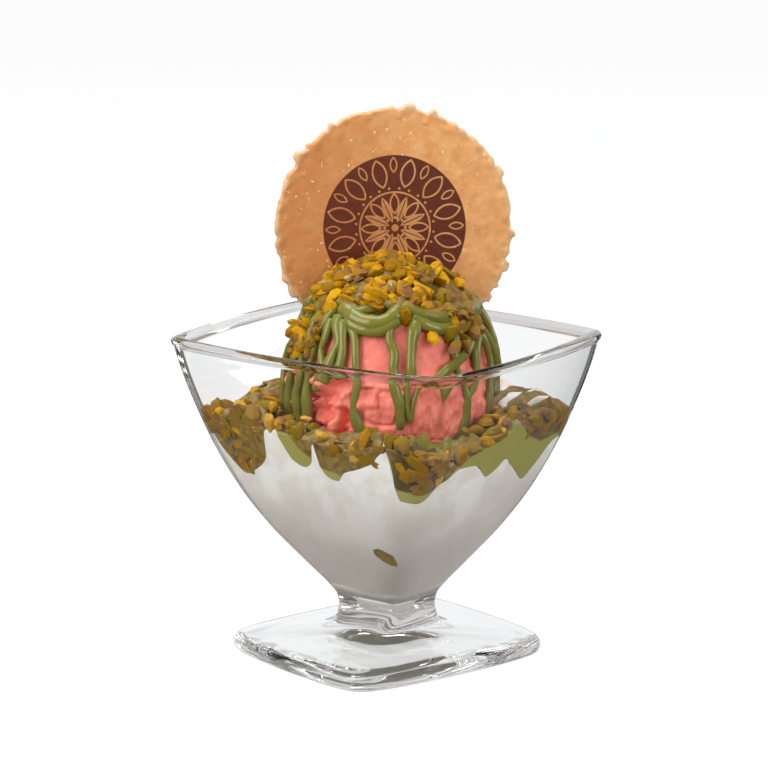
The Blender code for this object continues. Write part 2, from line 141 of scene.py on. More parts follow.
BED_LOW = (
    (0.0, 71.0), (0.06, 78.0), (0.2, 80.0), (0.42, 79.0), (0.55, 78.0), (0.7, 80.0), (0.85, 71.0),
    (1.0, 73.0), (1.2, 69.0), (1.35, 78.0), (1.5, 80.0), (1.62, 70.0), (1.8, 67.0), (2.0, 71.0),
    (2.06, 64.0), (2.15, 58.2), (2.25, 61.0), (2.32, 65.5), (2.36, 76.0), (2.385, 76.5), (2.44, 66.5),
    (2.48, 65.0), (2.51, 67.0), (2.526, 74.0), (2.54, 66.0), (2.57, 62.5), (2.6, 62.0), (2.63, 65.5),
    (2.68, 67.5), (2.73, 70.0), (2.78, 75.5), (2.81, 71.0), (2.845, 62.0), (2.89, 58.2), (3.0, 58.0),
    (3.08, 59.5), (3.15, 63.5), (3.22, 65.0), (3.29, 68.0), (3.38, 67.5), (3.455, 62.0), (3.5, 64.0),
    (3.53, 66.5), (3.57, 64.0), (3.64, 61.0), (3.75, 56.8), (3.8, 60.5), (3.86, 66.0), (4.0, 70.0),
)
BED_GREEN_TOP = (
    (0.0, 70.0), (0.25, 78.0), (0.5, 74.0), (0.8, 80.0), (1.1, 72.0), (1.6, 76.0), (2.0, 71.0),
    (2.1, 60.0), (2.34, 64.0), (2.38, 76.0), (2.44, 75.5), (2.48, 71.0), (2.51, 69.0), (2.55, 66.2),
    (2.6, 65.2), (2.64, 64.5), (2.8, 66.0), (2.86, 62.8), (3.0, 62.3), (3.1, 62.5), (3.2, 64.5),
    (3.28, 69.5), (3.38, 72.5), (3.46, 74.0), (3.5, 76.5), (3.525, 80.0), (3.56, 77.0), (3.64, 72.0),
    (3.75, 69.5), (3.86, 70.0), (4.0, 70.0),
)
BED_HIGH = (
    (0.0, 75.0), (0.3, 79.0), (0.6, 76.0), (0.9, 81.0), (1.2, 77.0), (1.5, 80.0), (1.8, 76.0),
    (2.0, 76.0), (2.12, 79.0), (2.24, 79.0), (2.34, 77.0), (2.38, 76.0), (2.46, 76.0), (2.55, 75.0),
    (2.7, 75.5), (2.78, 76.0), (2.88, 75.0), (3.0, 72.5), (3.15, 71.5), (3.25, 71.0), (3.4, 73.0),
    (3.5, 77.0), (3.525, 80.0), (3.56, 77.5), (3.7, 76.0), (3.85, 76.0), (4.0, 75.0),
)

# Sauce strands: width, then (azimuth from the front, height, stand-off) from the ring down
STRANDS = (
    (2.4, (
        (-74, 105, 0.8), (-78, 100.5, 1.2), (-86, 95.5, 1.6), (-88, 90.8, 1.8), (-88, 81, 1.6),
        (-86, 74, 1.0))),
    (2.6, (
        (-46, 111.5, 0.6), (-49, 107.8, 0.8), (-51, 102.8, 0.6), (-52, 93.8, 0.6), (-52, 83, 0.6),
        (-53, 75, 0.4))),
    (3.0, (
        (-38, 109.2, 0.6), (-38, 106, 0.9), (-34, 102.2, 0.7), (-36, 99, 0.7), (-38, 95.5, 0.7),
        (-41, 89.5, 0.5))),
    (2.6, (
        (-58, 109.5, 0.6), (-60, 105, 0.9), (-61, 99, 0.8), (-60, 92, 0.7), (-62, 84, 0.6), (-62, 75, 0.4))),
    (2.8, ((-34, 108, 0.6), (-31, 104, 0.8), (-29, 99.5, 0.7), (-31, 95, 0.6), (-33, 92, 0.4))),
    (2.3, (
        (-29, 107.2, 0.5), (-24, 103.5, 0.6), (-21.5, 98, 0.5), (-20, 92.5, 0.6), (-20, 84, 0.8),
        (-17, 79, 0.7), (-16, 74, 0.3))),
    (2.7, (
        (6, 111.5, 0.6), (2, 109.2, 0.9), (0, 104.8, 0.8), (0, 101.8, 0.7), (2.5, 96, 0.7), (5, 88.5, 0.6),
        (8, 77, 0.4))),
    (2.5, (
        (18, 109, 0.6), (17, 106, 0.8), (14, 102, 0.7), (12, 95, 0.6), (12, 85, 0.6), (12.5, 81.2, 0.6),
        (14.5, 80.2, 0.6), (16.5, 83.5, 0.6), (20, 87.5, 0.6), (24, 90.2, 0.6), (32, 93.5, 0.7), (42, 96, 0.8),
        (54, 99.2, 0.9), (62, 103, 0.7))),
    (2.6, (
        (70, 103, 0.8), (59, 98, 0.8), (56, 92.8, 0.7), (53, 88.2, 0.6), (46, 84.5, 0.6), (44, 78, 0.6),
        (44, 73, 0.3))),
    (2.3, (
        (48, 106, 0.7), (43, 101, 0.7), (42, 95.8, 0.6), (42, 89.5, 0.6), (45.5, 84.8, 0.6), (45, 80, 0.4))),
    (3.2, (
        (56, 111, 0.7), (60, 109.5, 1.2), (69, 104.5, 1.6), (80, 99.8, 1.6), (88, 93.8, 1.6), (92, 88, 1.2))),
    (3.4, (
        (80, 111, 1.2), (88, 107.5, 2.2), (92, 102.5, 2.6), (93, 96, 2.4), (94, 88, 1.8), (92, 80, 1.0))),
    (2.6, (
        (-66, 110, 0.6), (-70, 105, 0.9), (-71, 99, 0.8), (-73, 92, 0.7), (-74, 84, 0.6), (-74, 75, 0.4))),
    (2.4, ((-44, 108, 0.6), (-43, 103, 0.8), (-44.5, 98, 0.6), (-43, 93, 0.6), (-45, 87, 0.5))),
    (2.6, ((64, 108, 0.7), (70, 103, 1.0), (76, 97, 1.0), (76, 90, 0.9), (72, 83, 0.7), (70, 76, 0.5))),
)
SWAGS = (
    (4.0, (
        (-40, 111.5, 0.9), (-30, 109.8, 1.1), (-20, 108.2, 1.2), (-8, 107.8, 1.2), (2, 109.5, 1.2),
        (9, 111.8, 1.0))),
    (3.4, ((-33, 108.8, 0.8), (-24, 106.6, 0.9), (-12, 105.8, 0.9), (-3, 107, 0.8), (4, 109, 0.7))),
    (3.0, (
        (-40, 113, 0.9), (-26, 111, 1.2), (-14, 111.8, 1.1), (-6, 113, 1.0), (6, 112.4, 1.0), (12, 114, 0.8))),
    (3.4, ((-66, 109, 0.8), (-56, 111.2, 1.0), (-46, 112, 1.1), (-38, 112.5, 1.0))),
    (3.6, (
        (10, 112.5, 0.9), (18, 110.8, 1.1), (30, 109.4, 1.2), (42, 108.4, 1.2), (52, 110, 1.0),
        (60, 112, 0.8))),
    (3.2, ((14, 109.5, 0.7), (24, 107, 0.8), (34, 105.6, 0.8), (44, 106.5, 0.8), (52, 109, 0.7))),
    (4.2, ((52, 112, 1.0), (64, 109.5, 1.6), (76, 108, 2.0), (90, 108.5, 2.2), (104, 110, 1.6))),
)
BACK_STRANDS = 11
BACK_SWAGS = 6

# Nut clusters against the glass: (turn, height, spread, count)
WALL_CLUSTERS = (
    (2.06, 75.0, 3.0, 6), (2.14, 70.0, 4.5, 9), (2.2, 62.0, 3.0, 6), (2.26, 74.0, 4.5, 8), (2.3, 66.0, 3.0, 6),
    (2.46, 77.5, 2.0, 3), (2.54, 75.5, 1.5, 2), (2.7, 73.0, 2.0, 3), (2.66, 77.5, 1.5, 2), (2.89, 71.8, 2.0, 3),
    (3.06, 67.0, 2.6, 5), (2.82, 78.5, 2.0, 3), (3.1, 74.0, 3.0, 5), (3.34, 78.0, 1.2, 1), (3.44, 77.5, 2.0, 4),
    (3.52, 83.0, 2.5, 4), (3.66, 77.0, 3.0, 6), (3.8, 75.0, 3.0, 6), (3.9, 78.0, 2.5, 4),
)

# Wafer: a disc that leans back and turns a little to the right
WAFER_REACH = 37.0
WAFER_THICKNESS = 2.8
WAFER_CENTRE = np.array((2.2, 15.5, 129.8))
WAFER_LEAN = 6.0
WAFER_TURN = 11.0
WAFER_DISHING = 0.0009   # how far its face falls away, over the radius squared
MEDALLION_REACH = 22.2
FACE_SPAN = 80.0         # width of the square that the wafer's UV map covers

# Nut chips
GOLDEN_ANGLE = math.radians(137.508)
CAP_REACH = 22.4
FLANK_CHIPS = (34, 34, 60)   # on the left, on the dark right and behind
SINGLE_CHIPS = (
    (0, 113.8), (4, 110.5), (10, 109.2), (51, 100.5), (27, 103.5), (30, 111.5), (47, 106.5), (63, 108),
)
RING_CHIPS = 130             # in each row of those pressed against the glass
CHIP_ROWS = 7
CHIPS_INSET = WALL - 0.26    # the surface that presses chips flat, a little inside the wall's glass
FAR = 1000.0                 # height of a surface that presses nothing
STRAY_CHIP = (2.84, 37.4)    # turn and height of the one chip low on the front of the glass


def colour_setting(name, description, default):
    return FloatVectorProperty(name=name, description=description, subtype="COLOR", default=default)


class SundaeGlassSettings(bpy.types.PropertyGroup):
    around: IntProperty(name="Around", description="Points round the glass", default=516, min=48)
    rings: IntProperty(name="Rings", description="Rings up the outside of the glass", default=94, min=66)
    bend: FloatProperty(name="Index", description="Refractive index", default=1.5, min=1.3, max=1.8)


class SundaeFoodSettings(bpy.types.PropertyGroup):
    cream: colour_setting("Cream", "Colour of the cream", (0.985, 0.93, 0.872))
    pink: colour_setting("Ice cream", "Colour of the strawberry ice cream", (1.0, 0.236, 0.168))
    sauce: colour_setting("Sauce", "Colour of the pistachio sauce", (0.178, 0.17, 0.026))
    cap_chips: IntProperty(name="Chips on the scoop", description="Nut chips on the scoop", default=250, min=10)
    cream_chips: IntProperty(
        name="Chips on the cream", description="Nut chips spread over the cream", default=120, min=10
    )
    chip_length: FloatProperty(
        name="Chip length",
        description="Usual length of a nut chip",
        default=4.6 * MM,
        unit="LENGTH",
        subtype="DISTANCE",
    )


class SundaeWaferSettings(bpy.types.PropertyGroup):
    biscuit: colour_setting("Biscuit", "Colour of the baked wafer", (0.79, 0.38, 0.135))
    print_colour: colour_setting("Print", "Colour of the medallion", (0.09, 0.015, 0.003))


class SundaeStageSettings(bpy.types.PropertyGroup):
    elevation: FloatProperty(name="Elevation", description="Camera height in degrees", default=12.47)
    distance: FloatProperty(
        name="Distance",
        description="From the camera to the glass",
        default=1.2,
        unit="LENGTH",
        subtype="DISTANCE",
    )
    key: FloatProperty(name="Key light", description="Power of the key light", default=12.6, unit="POWER")


def smooth_between(places, stations):
    """Reads a curve through (place, value) stations: cubic pieces whose slopes are the harmonic means of the
    neighbouring slopes, and level where the curve turns, so that it never swings past a station."""
    at = np.array([s[0] for s in stations], float)
    value = np.array([s[1] for s in stations], float)
    run = np.diff(at)
    rise = np.diff(value) / run
    slope = np.empty_like(value)
    slope[0], slope[-1] = rise[0], rise[-1]
    same_way = rise[:-1] * rise[1:] > 0
    safe = np.where(same_way, rise[:-1] + rise[1:], 1.0)
    slope[1:-1] = np.where(same_way, 2 * rise[:-1] * rise[1:] / safe, 0.0)
    places = np.clip(np.asarray(places, float), at[0], at[-1])
    k = np.clip(np.searchsorted(at, places, side="right") - 1, 0, len(run) - 1)
    t = (places - at[k]) / run[k]
    held = value[k] * (1 + 2 * t) * (1 - t) ** 2 + value[k + 1] * t * t * (3 - 2 * t)
    bent = slope[k] * run[k] * t * (1 - t) ** 2 - slope[k + 1] * run[k] * t * t * (1 - t)
    return held + bent


def eased(value, low, high):
    """0 below low and 1 above high, with an S-shaped cubic between."""
    t = np.clip((value - low) / (high - low), 0, 1)
    return t * t * (3 - 2 * t)


def soft_noise(points, cell, seed):
    """Smooth noise from -1 to 1: a random value at each corner of a lattice, eased together in each cell."""
    place = np.asarray(points, float) / cell
    base = np.floor(place)
    part = place - base
    part = part * part * (3 - 2 * part)
    total = np.zeros(place.shape[:-1])
    for corner in product((0.0, 1.0), repeat=3):
        lattice = base + corner
        mixed = np.sin(lattice @ np.array((12.9898, 78.233, 37.719)) + 17.17 * seed) * 43758.5453
        value = 2 * (mixed - np.floor(mixed)) - 1
        weight = np.prod(np.where(np.array(corner) > 0, part, 1 - part), axis=-1)
        total += weight * value
    return total


def glass_plan(turns, heights, reach=None, inset=0.0):
    """Plan points of the glass for turns from 0 to 4, with a corner at each whole number.

    Each side is an arc between two corners. A power mean of the distances to the four arcs rounds the corners,
    and the front and back corners twist as the glass rises."""
    turns, heights = np.broadcast_arrays(np.asarray(turns, float), np.asarray(heights, float))
    if reach is None:
        reach = smooth_between(heights, OUTLINE)
    reach = np.broadcast_to(reach - inset * math.sqrt(2), turns.shape)
    twist = np.radians(smooth_between(heights, TWIST))
    bow = smooth_between(heights, BOW)
    front_or_back = np.sin(0.5 * np.pi * turns) ** 2
    change = inset * (INNER_ROUNDING * front_or_back - SIDE_SHARPENING * (1 - front_or_back))
    rounding = np.maximum(smooth_between(heights, CORNER_ROUNDING) + change, LEAST_ROUNDING)
    rounding = np.minimum(rounding, 0.5 * reach)
    power = reach * math.log(2) / (rounding * (math.sqrt(2) - 1))
    sharp = reach * 2 ** (1 / power)

    def corner_angle(k):
        share = np.where(np.mod(k, 2) == 0, SIDE_TWIST_SHARE, 1.0)
        return np.radians(90) * k + twist * share

    quarter = np.floor(turns)
    part = turns - quarter
    part = part - CORNER_CROWDING * np.sin(2 * np.pi * part) / (2 * np.pi)
    angle = corner_angle(quarter) * (1 - part) + corner_angle(quarter + 1) * part
    ray = np.stack([np.cos(angle), np.sin(angle)])
    total = 0.0
    for k in range(4):
        first = sharp * np.stack([np.cos(corner_angle(k)), np.sin(corner_angle(k))])
        second = sharp * np.stack([np.cos(corner_angle(k + 1)), np.sin(corner_angle(k + 1))])
        middle = (first + second) / 2
        chord = np.linalg.norm(second - first, axis=0)
        rise = bow * chord
        arc = (chord**2 / 4 + rise**2) / (2 * rise)
        centre = middle * (1 - (arc - rise) / np.linalg.norm(middle, axis=0))
        along = (ray * centre).sum(axis=0)
        distance = along + np.sqrt(along**2 - (centre**2).sum(axis=0) + arc**2)
        total = total + (distance / reach) ** -power
    return ray * reach * total ** (-1 / power)


def scoop_radius(heights):
    """The scoop's radius at each height: two superellipse quarters that meet at the waist."""
    heights = np.asarray(heights, float)
    span = np.where(heights > SCOOP_WAIST, SCOOP_TOP - SCOOP_WAIST, SCOOP_WAIST - SCOOP_BOTTOM)
    part = np.clip(np.abs(heights - SCOOP_WAIST) / span, 0, 1)
    return SCOOP_REACH * (1 - part**SCOOP_ROUNDNESS) ** (1 / SCOOP_ROUNDNESS)


def scoop_point(azimuth, heights, out=0.0):
    """Points on the scoop at azimuths from the front, in degrees, and heights, moved out by a stand-off."""
    azimuth = np.radians(azimuth)
    part = np.clip((heights - SCOOP_WAIST) / (SCOOP_TOP - SCOOP_WAIST), 0, 1) ** 3
    radius = scoop_radius(heights) + out * (1 - part)
    up = heights + out * part
    return np.stack([SCOOP_X + radius * np.sin(azimuth), -radius * np.cos(azimuth), up], axis=-1)


def rows_of_faces(rows, columns):
    """Index array of the quads of a grid whose last column joins the first."""
    row = np.arange(rows - 1)[:, None] * columns
    column = np.arange(columns)[None, :]
    following = (column + 1) % columns
    above = row + columns
    return np.stack([row + column, row + following, above + following, above + column], axis=-1).reshape(-1, 4)


def fan_of_faces(ring_start, columns, pole, flip):
    """Index array of the triangles that close a grid's end on one point."""
    column = np.arange(columns)
    following = (column + 1) % columns
    order = (following, column) if flip else (column, following)
    return np.stack([np.full(columns, pole), ring_start + order[0], ring_start + order[1]], axis=-1)


def caps_of_faces(rows, columns):
    """Index array of the triangles that close a grid's first and last rows on two further points."""
    pole = rows * columns
    end = fan_of_faces(pole - columns, columns, pole + 1, False)
    return np.vstack([fan_of_faces(0, columns, pole, True), end])


def inside_out(corners):
    """Whether a skin of quads, given by their corners, faces inwards: the sum of triple products is below 0."""
    volume = np.einsum("ij,ij->", corners[:, 0], np.cross(corners[:, 1], corners[:, 2]))
    volume += np.einsum("ij,ij->", corners[:, 0], np.cross(corners[:, 2], corners[:, 3]))
    return volume < 0


def make_piece(name, points, quads, triangles, material, values, smooth_angle=None):
    """Puts points in millimetres and index arrays into a mesh whose faces point outwards."""
    points = np.asarray(points, float) * MM
    if inside_out(points[quads]):
        quads = quads[:, ::-1]
        triangles = triangles[:, ::-1]
    mesh = bpy.data.meshes.new(name)
    mesh.from_pydata(points.tolist(), [], quads.tolist() + triangles.tolist())
    for label, numbers in values.items():
        layer = mesh.attributes.new(label, "FLOAT", "POINT")
        layer.data.foreach_set("value", np.asarray(numbers, np.float32).ravel())
    mesh.materials.append(material)
    mesh.shade_smooth()
    if smooth_angle:
        mesh.set_sharp_from_angle(angle=math.radians(smooth_angle))
    piece = bpy.data.objects.new(name, mesh)
    bpy.context.scene.collection.objects.link(piece)
    return piece


def joined_surfaces(name, grids, material, values):
    """One piece from closed skins, each a grid of rings whose first and last rings close on their middles."""
    points, quads, triangles = [], [], []
    first = 0
    labels = {label: [] for label in values[0]}
    for grid, numbers in zip(grids, values):
        rows, columns = grid.shape[:2]
        points.append(np.vstack([grid.reshape(-1, 3), grid[0].mean(axis=0), grid[-1].mean(axis=0)]))
        skin, caps = rows_of_faces(rows, columns), caps_of_faces(rows, columns)
        if inside_out(points[-1][skin] - grid.reshape(-1, 3).mean(axis=0)):
            skin, caps = skin[:, ::-1], caps[:, ::-1]
        quads.append(skin + first)
        triangles.append(caps + first)
        for label in labels:
            number = np.broadcast_to(numbers[label], grid.shape[:2])
            labels[label].append(np.concatenate([number.ravel(), [number[0].mean(), number[-1].mean()]]))
        first += len(points[-1])
    full = {label: np.concatenate(parts) for label, parts in labels.items()}
    return make_piece(name, np.vstack(points), np.vstack(quads), np.vstack(triangles), material, full)


def closed_surface(name, grid, material, values):
    """One piece from one such skin."""
    return joined_surfaces(name, [grid], material, [values])


def level_ring(plan, level):
    """Ring of points from plan points and one height, or a height for each."""
    return np.stack(np.broadcast_arrays(plan[0], plan[1], level), axis=-1)[0]


def reach_at(height, inset):
    """Half the diagonal of the glass at a height, so far inside its outer skin."""
    return float(smooth_between(height, OUTLINE)) - inset * math.sqrt(2)


def bead_proud(height):
    """How far the rim's bead stands proud of the wall at a height from its middle: a circle round the wall's
    middle, and a soft minimum that blends it into the wall."""
    circle = WALL / 2 - math.sqrt(max(BEAD**2 - height**2, 0.0))
    blend = max(BEAD_BLEND - abs(circle), 0.0) / BEAD_BLEND
    return max(-circle, 0.0) + blend * blend * BEAD_BLEND / 4


def glass_skin(settings):
    """Grid of the glass: from the middle of the underside, up the outside, over the lip and down to the floor.

    Every ring is the rounded, bowed and twisted square of glass_plan. The lip is a bead of nearly circular
    section that stands a little proud of the wall on both sides."""
    turns = np.arange(settings.around)[None, :] * 4 / settings.around
    rings = []

    def add(height, reach=None, inset=0.0, level=None):
        rings.append(level_ring(glass_plan(turns, height, reach, inset), height if level is None else level))

    for share in np.linspace(0.08, 1, RECESS_RINGS):
        add(0.0, RECESS_REACH * share, level=RECESS_DEPTH * (1 - share))
    bead_middle = GLASS_HEIGHT - BEAD
    wall_top = bead_middle - BEAD_START - 0.2
    for height in np.linspace(0, FOOT_TOP, FOOT_RINGS):
        add(height)
    for height in np.linspace(FOOT_TOP + 0.3, STEM_TOP, STEM_RINGS):
        add(height)
    for height in np.linspace(STEM_TOP + 1, wall_top, settings.rings - FOOT_RINGS - STEM_RINGS):
        add(height)
    heights = np.linspace(bead_middle - BEAD_START, bead_middle, BEAD_RINGS)
    rounded = [(height, bead_proud(height - bead_middle)) for height in heights]
    for height, proud in rounded:
        add(height, inset=-proud)
    side = rounded[-1][1]
    for angle in np.linspace(0, np.pi, 16)[1:-1]:
        add(bead_middle + BEAD * math.sin(angle), inset=WALL / 2 - (WALL / 2 + side) * math.cos(angle))
    for height, proud in rounded[::-1]:
        add(height, inset=WALL + proud)
    for height in np.linspace(wall_top, FLOOR + FLOOR_RISE, 32):
        add(height, inset=WALL)
    floor_reach = reach_at(FLOOR, WALL)
    base = reach_at(FLOOR + FLOOR_RISE, WALL)
    for step in np.linspace(0, 1, 8)[1:]:
        turn = 0.5 * math.pi * step
        reach = base + (floor_reach - FLOOR_TURN - base) * (1 - math.cos(turn))
        add(FLOOR + FLOOR_RISE * (1 - math.sin(turn)), reach)
    for share in (0.6, 0.3, 0.1):
        add(FLOOR, floor_reach * share)
    return np.array(rings)


def cream_edge_height(turns):
    """Height of the cream at the glass."""
    return smooth_between(np.mod(turns, 4), CREAM_EDGE)


def cream_level(turns, share, wall_height):
    """Height of the cream's top from its edge at the glass (share 0) to the scoop (share 1), softly ridged."""
    level = wall_height * (1 - share) + CREAM_AT_SCOOP * share
    ridge = np.sin(2 * np.pi * (3.5 * turns + 1.3 * share))
    ridge = ridge + 0.6 * np.sin(2 * np.pi * (6.1 * turns - 0.9 * share))
    return level + 4 * share * (1 - share) * (1.4 + 1.7 * ridge)


def toward_scoop(plan, share, inner):
    """Plan points a share of the way from points at the glass to a circle of a given radius round the scoop."""
    offset = plan - np.array((SCOOP_X, 0.0))[:, None, None]
    distance = np.linalg.norm(offset, axis=0)
    aim = offset / distance * inner + np.array((SCOOP_X, 0.0))[:, None, None]
    return plan * (1 - share) + aim * share


def cream_skin():
    """Grid of the cream: the floor, the wall just into the glass, the ridged top and a lid inside the scoop."""
    turns = np.arange(CREAM_COLUMNS)[None, :] * 4 / CREAM_COLUMNS
    edge = cream_edge_height(turns)
    base = FLOOR - 0.1
    floor_reach = reach_at(FLOOR, WALL)
    inner = floor_reach - 2.0
    outer = reach_at(FLOOR + FLOOR_RISE, WALL - CREAM_BITE)
    rings = [level_ring(glass_plan(turns, base, reach), base) for reach in (1.0, 0.5 * floor_reach, inner)]
    for turn in np.linspace(0, 0.5 * math.pi, 8)[1:-1]:
        level = FLOOR + FLOOR_RISE - (FLOOR_RISE + 0.1) * math.cos(turn)
        reach = outer + (inner - outer) * (1 - math.sin(turn))
        rings.append(level_ring(glass_plan(turns, level, reach), level))
    for share in np.linspace(0, 1, 110):
        level = FLOOR + FLOOR_RISE + (edge - FLOOR - FLOOR_RISE) * share
        inset = WALL - CREAM_BITE + CREAM_ROUNDING * eased(share, 0.965, 1.0) ** 2
        rings.append(level_ring(glass_plan(turns, level, inset=inset), level))
    wall = glass_plan(turns, edge, inset=WALL - CREAM_BITE + CREAM_ROUNDING)
    for share in np.linspace(0, 1, 70)[1:]:
        points = level_ring(toward_scoop(wall, share, SCOOP_REACH - 3.0), cream_level(turns, share, edge))
        points[:, 2] += 0.8 * soft_noise(points, 4.5, 3) * min(1.0, 6 * share)
        rings.append(points)
    rings.append(level_ring(toward_scoop(wall, 1.0, LID_REACH), LID_HEIGHT))
    return np.array(rings)


def scoop_relief(azimuth, points):
    """Ledge, crags and grain of the scoop: the ledge steps out below its height, and noise of three sizes grows
    below it, most of all at the lower left."""
    height = points[..., 2]
    brim = LEDGE + 1.8 * soft_noise(points, 9.0, 4) + 0.8 * soft_noise(points, 4.0, 14)
    ledge = 1.3 * eased(brim - height, -0.5, 0.9)
    low = eased(LEDGE + 1 - height, 0, 4)
    left = 0.3 + 0.7 * eased(-np.sin(azimuth + 0.1), -0.1, 0.35)
    lumps = soft_noise(points, 7.0, 1) + 0.7 * soft_noise(points, 3.4, 2) + 0.35 * soft_noise(points, 1.8, 12)
    clefts = -3.0 * eased(soft_noise(points * (1, 1, 1.2), 7.0, 9), 0.25, 0.5)
    clefts -= 2.4 * eased(0.2 - np.abs(soft_noise(points * (1, 1, 1.3), 8.0, 10)), 0.0, 0.2)
    clefts -= 1.3 * eased(0.22 - np.abs(soft_noise(points, 4.5, 11)), 0.0, 0.22)
    grain = 0.16 * soft_noise(points, 1.3, 5) + 0.1 * soft_noise(points, 0.7, 6)
    flutes = 0.45 * np.sin(17 * azimuth + 2 * soft_noise(points, 12.0, 8))
    swell = 0.5 * soft_noise(points, 11.0, 7)
    return ledge - 0.8 + low * (left * (2.3 * lumps + clefts) + (1 - left) * flutes) + swell + grain


def scoop_skin():
    """Grid of the scoop: a superellipse outline turned round, moved along the radius by its relief."""
    azimuth = np.arange(SCOOP_COLUMNS)[None, :] * 2 * np.pi / SCOOP_COLUMNS
    angle = np.linspace(0.02, np.pi - 0.15, 230)[:, None]
    power = 2 / SCOOP_ROUNDNESS
    up = np.abs(np.cos(angle)) ** power
    above = SCOOP_WAIST + up * (SCOOP_TOP - 1 - SCOOP_WAIST)
    below = SCOOP_WAIST - up * (SCOOP_WAIST - SCOOP_BOTTOM - 1)
    height = np.where(angle < np.pi / 2, above, below)
    radius = SCOOP_REACH * np.sin(angle) ** power
    height, radius, azimuth = np.broadcast_arrays(height, radius, azimuth)
    bare = np.stack([radius * np.sin(azimuth), -radius * np.cos(azimuth), height], axis=-1)
    relief = scoop_relief(azimuth, bare)
    radius = radius + relief * np.sin(angle) ** 0.5
    # How far the relief sinks, which the ice cream's material darkens as painted shade
    hollow = eased(-relief, 0.4, 3.0)
    return np.stack([SCOOP_X + radius * np.sin(azimuth), -radius * np.cos(azimuth), height], axis=-1), hollow


def smooth_route(stops, count):
    """Catmull-Rom curve through the stops, read at evenly spaced parameters."""
    stops = np.asarray(stops, float)
    padded = np.vstack([2 * stops[0] - stops[1], stops, 2 * stops[-1] - stops[-2]])
    at = np.linspace(0, len(stops) - 1 - 1e-9, count)
    k = at.astype(int)
    t = (at - k)[:, None]
    a, b, c, d = padded[k], padded[k + 1], padded[k + 2], padded[k + 3]
    return 0.5 * (2 * b + (c - a) * t + (2 * a - 5 * b + 4 * c - d) * t * t + (3 * b - a - 3 * c + d) * t**3)


def sauce_rope(width, stops, seed, hangs=True):
    """Grid of a rope of sauce: an ellipse, wider than it is thick, carried along a route on the scoop.

    A hanging rope thins and then swells towards its foot. Noise varies the width, and the ends are rounded."""
    count = 12 * len(stops)
    route = smooth_route(stops, count)
    wander = np.stack([np.full(count, 7.0 * seed), route[:, 1], np.zeros(count)], axis=-1)
    route[:, 0] += 1.6 * soft_noise(wander, 5.0, 71)
    path = scoop_point(route[:, 0], route[:, 1], route[:, 2])
    along = np.gradient(path, axis=0)
    along /= np.linalg.norm(along, axis=1, keepdims=True)
    out = scoop_point(route[:, 0], route[:, 1], route[:, 2] + 1.0) - path
    out -= along * (out * along).sum(axis=1, keepdims=True)
    out /= np.linalg.norm(out, axis=1, keepdims=True)
    side = np.cross(along, out)
    t = np.linspace(0, 1, count)
    waver = 1 + 0.16 * soft_noise(path, 5.0, seed) + 0.08 * soft_noise(path, 2.2, seed + 1)
    ends = np.sqrt(np.clip(1 - np.maximum(0, np.abs(2 * t - 1) - 0.9) ** 2 / 0.01, 0.0004, 1))
    neck = 1.2 - 0.38 * eased(t, 0.0, 0.35) + 0.34 * eased(t, 0.6, 0.9) if hangs else 1.0
    size = 0.62 * width * waver * neck * ends
    turn = np.arange(ROPE_COLUMNS) * 2 * np.pi / ROPE_COLUMNS
    ring = side[:, None] * np.cos(turn)[None, :, None] + 0.82 * out[:, None] * np.sin(turn)[None, :, None]
    return path[:, None] + size[:, None, None] * ring


def sauce_cap_skin():
    """Grid of the sauce that covers the top of the dome: the scoop's outline moved out by a lumpy thickness,
    ending in a scalloped edge, and closed inside the scoop."""
    azimuth = np.arange(CAP_COLUMNS)[None, :] * 360 / CAP_COLUMNS
    edge = 109.5 + 1.3 * np.cos(np.radians(6 * azimuth + 40)) + 0.9 * np.cos(np.radians(11 * azimuth))
    share = np.linspace(0.01, 1, 60)[:, None]
    heights = SCOOP_TOP - 0.6 - (SCOOP_TOP - 0.6 - edge) * share**1.9
    bare = scoop_point(azimuth, heights, 0.0)
    thick = 1.5 + 0.8 * soft_noise(bare, 5.0, 21) + 0.5 * soft_noise(bare, 2.4, 22)
    thick = thick * np.sqrt(np.clip(1 - share**8, 0, 1)) - 1.2 * share**10
    outer = scoop_point(azimuth, heights, thick)
    inner = scoop_point(azimuth, np.repeat(heights[-1:], 2, axis=0) + np.array((0.0, 2.0))[:, None], -3.0)
    return np.concatenate([outer, inner])


def nutty_side(points):
    """1 where the sauce on the dome is brown with nut skin: high up and to the right."""
    right = eased(points[..., 0] + 2.5 * soft_noise(points, 5.0, 31), 8.0, 14.0)
    right = right * eased(points[..., 2], 108.5, 112.5)
    return np.maximum(right, 0.9 * eased(points[..., 2], 112.0, 114.0))


def bed_presence(turns):
    """1 where a layer of sauce and nuts lies on the cream at the glass, 0 where its low and high lines meet."""
    return eased(smooth_between(turns, BED_HIGH) - smooth_between(turns, BED_LOW), 0.3, 1.6)


def bed_lift(thick, share, present):
    """How far the layer stands above the cream's top, a share of the way from the glass to the scoop."""
    return thick * (1 - share) + BED_AT_SCOOP * share - BED_SUNK * (1 - present)


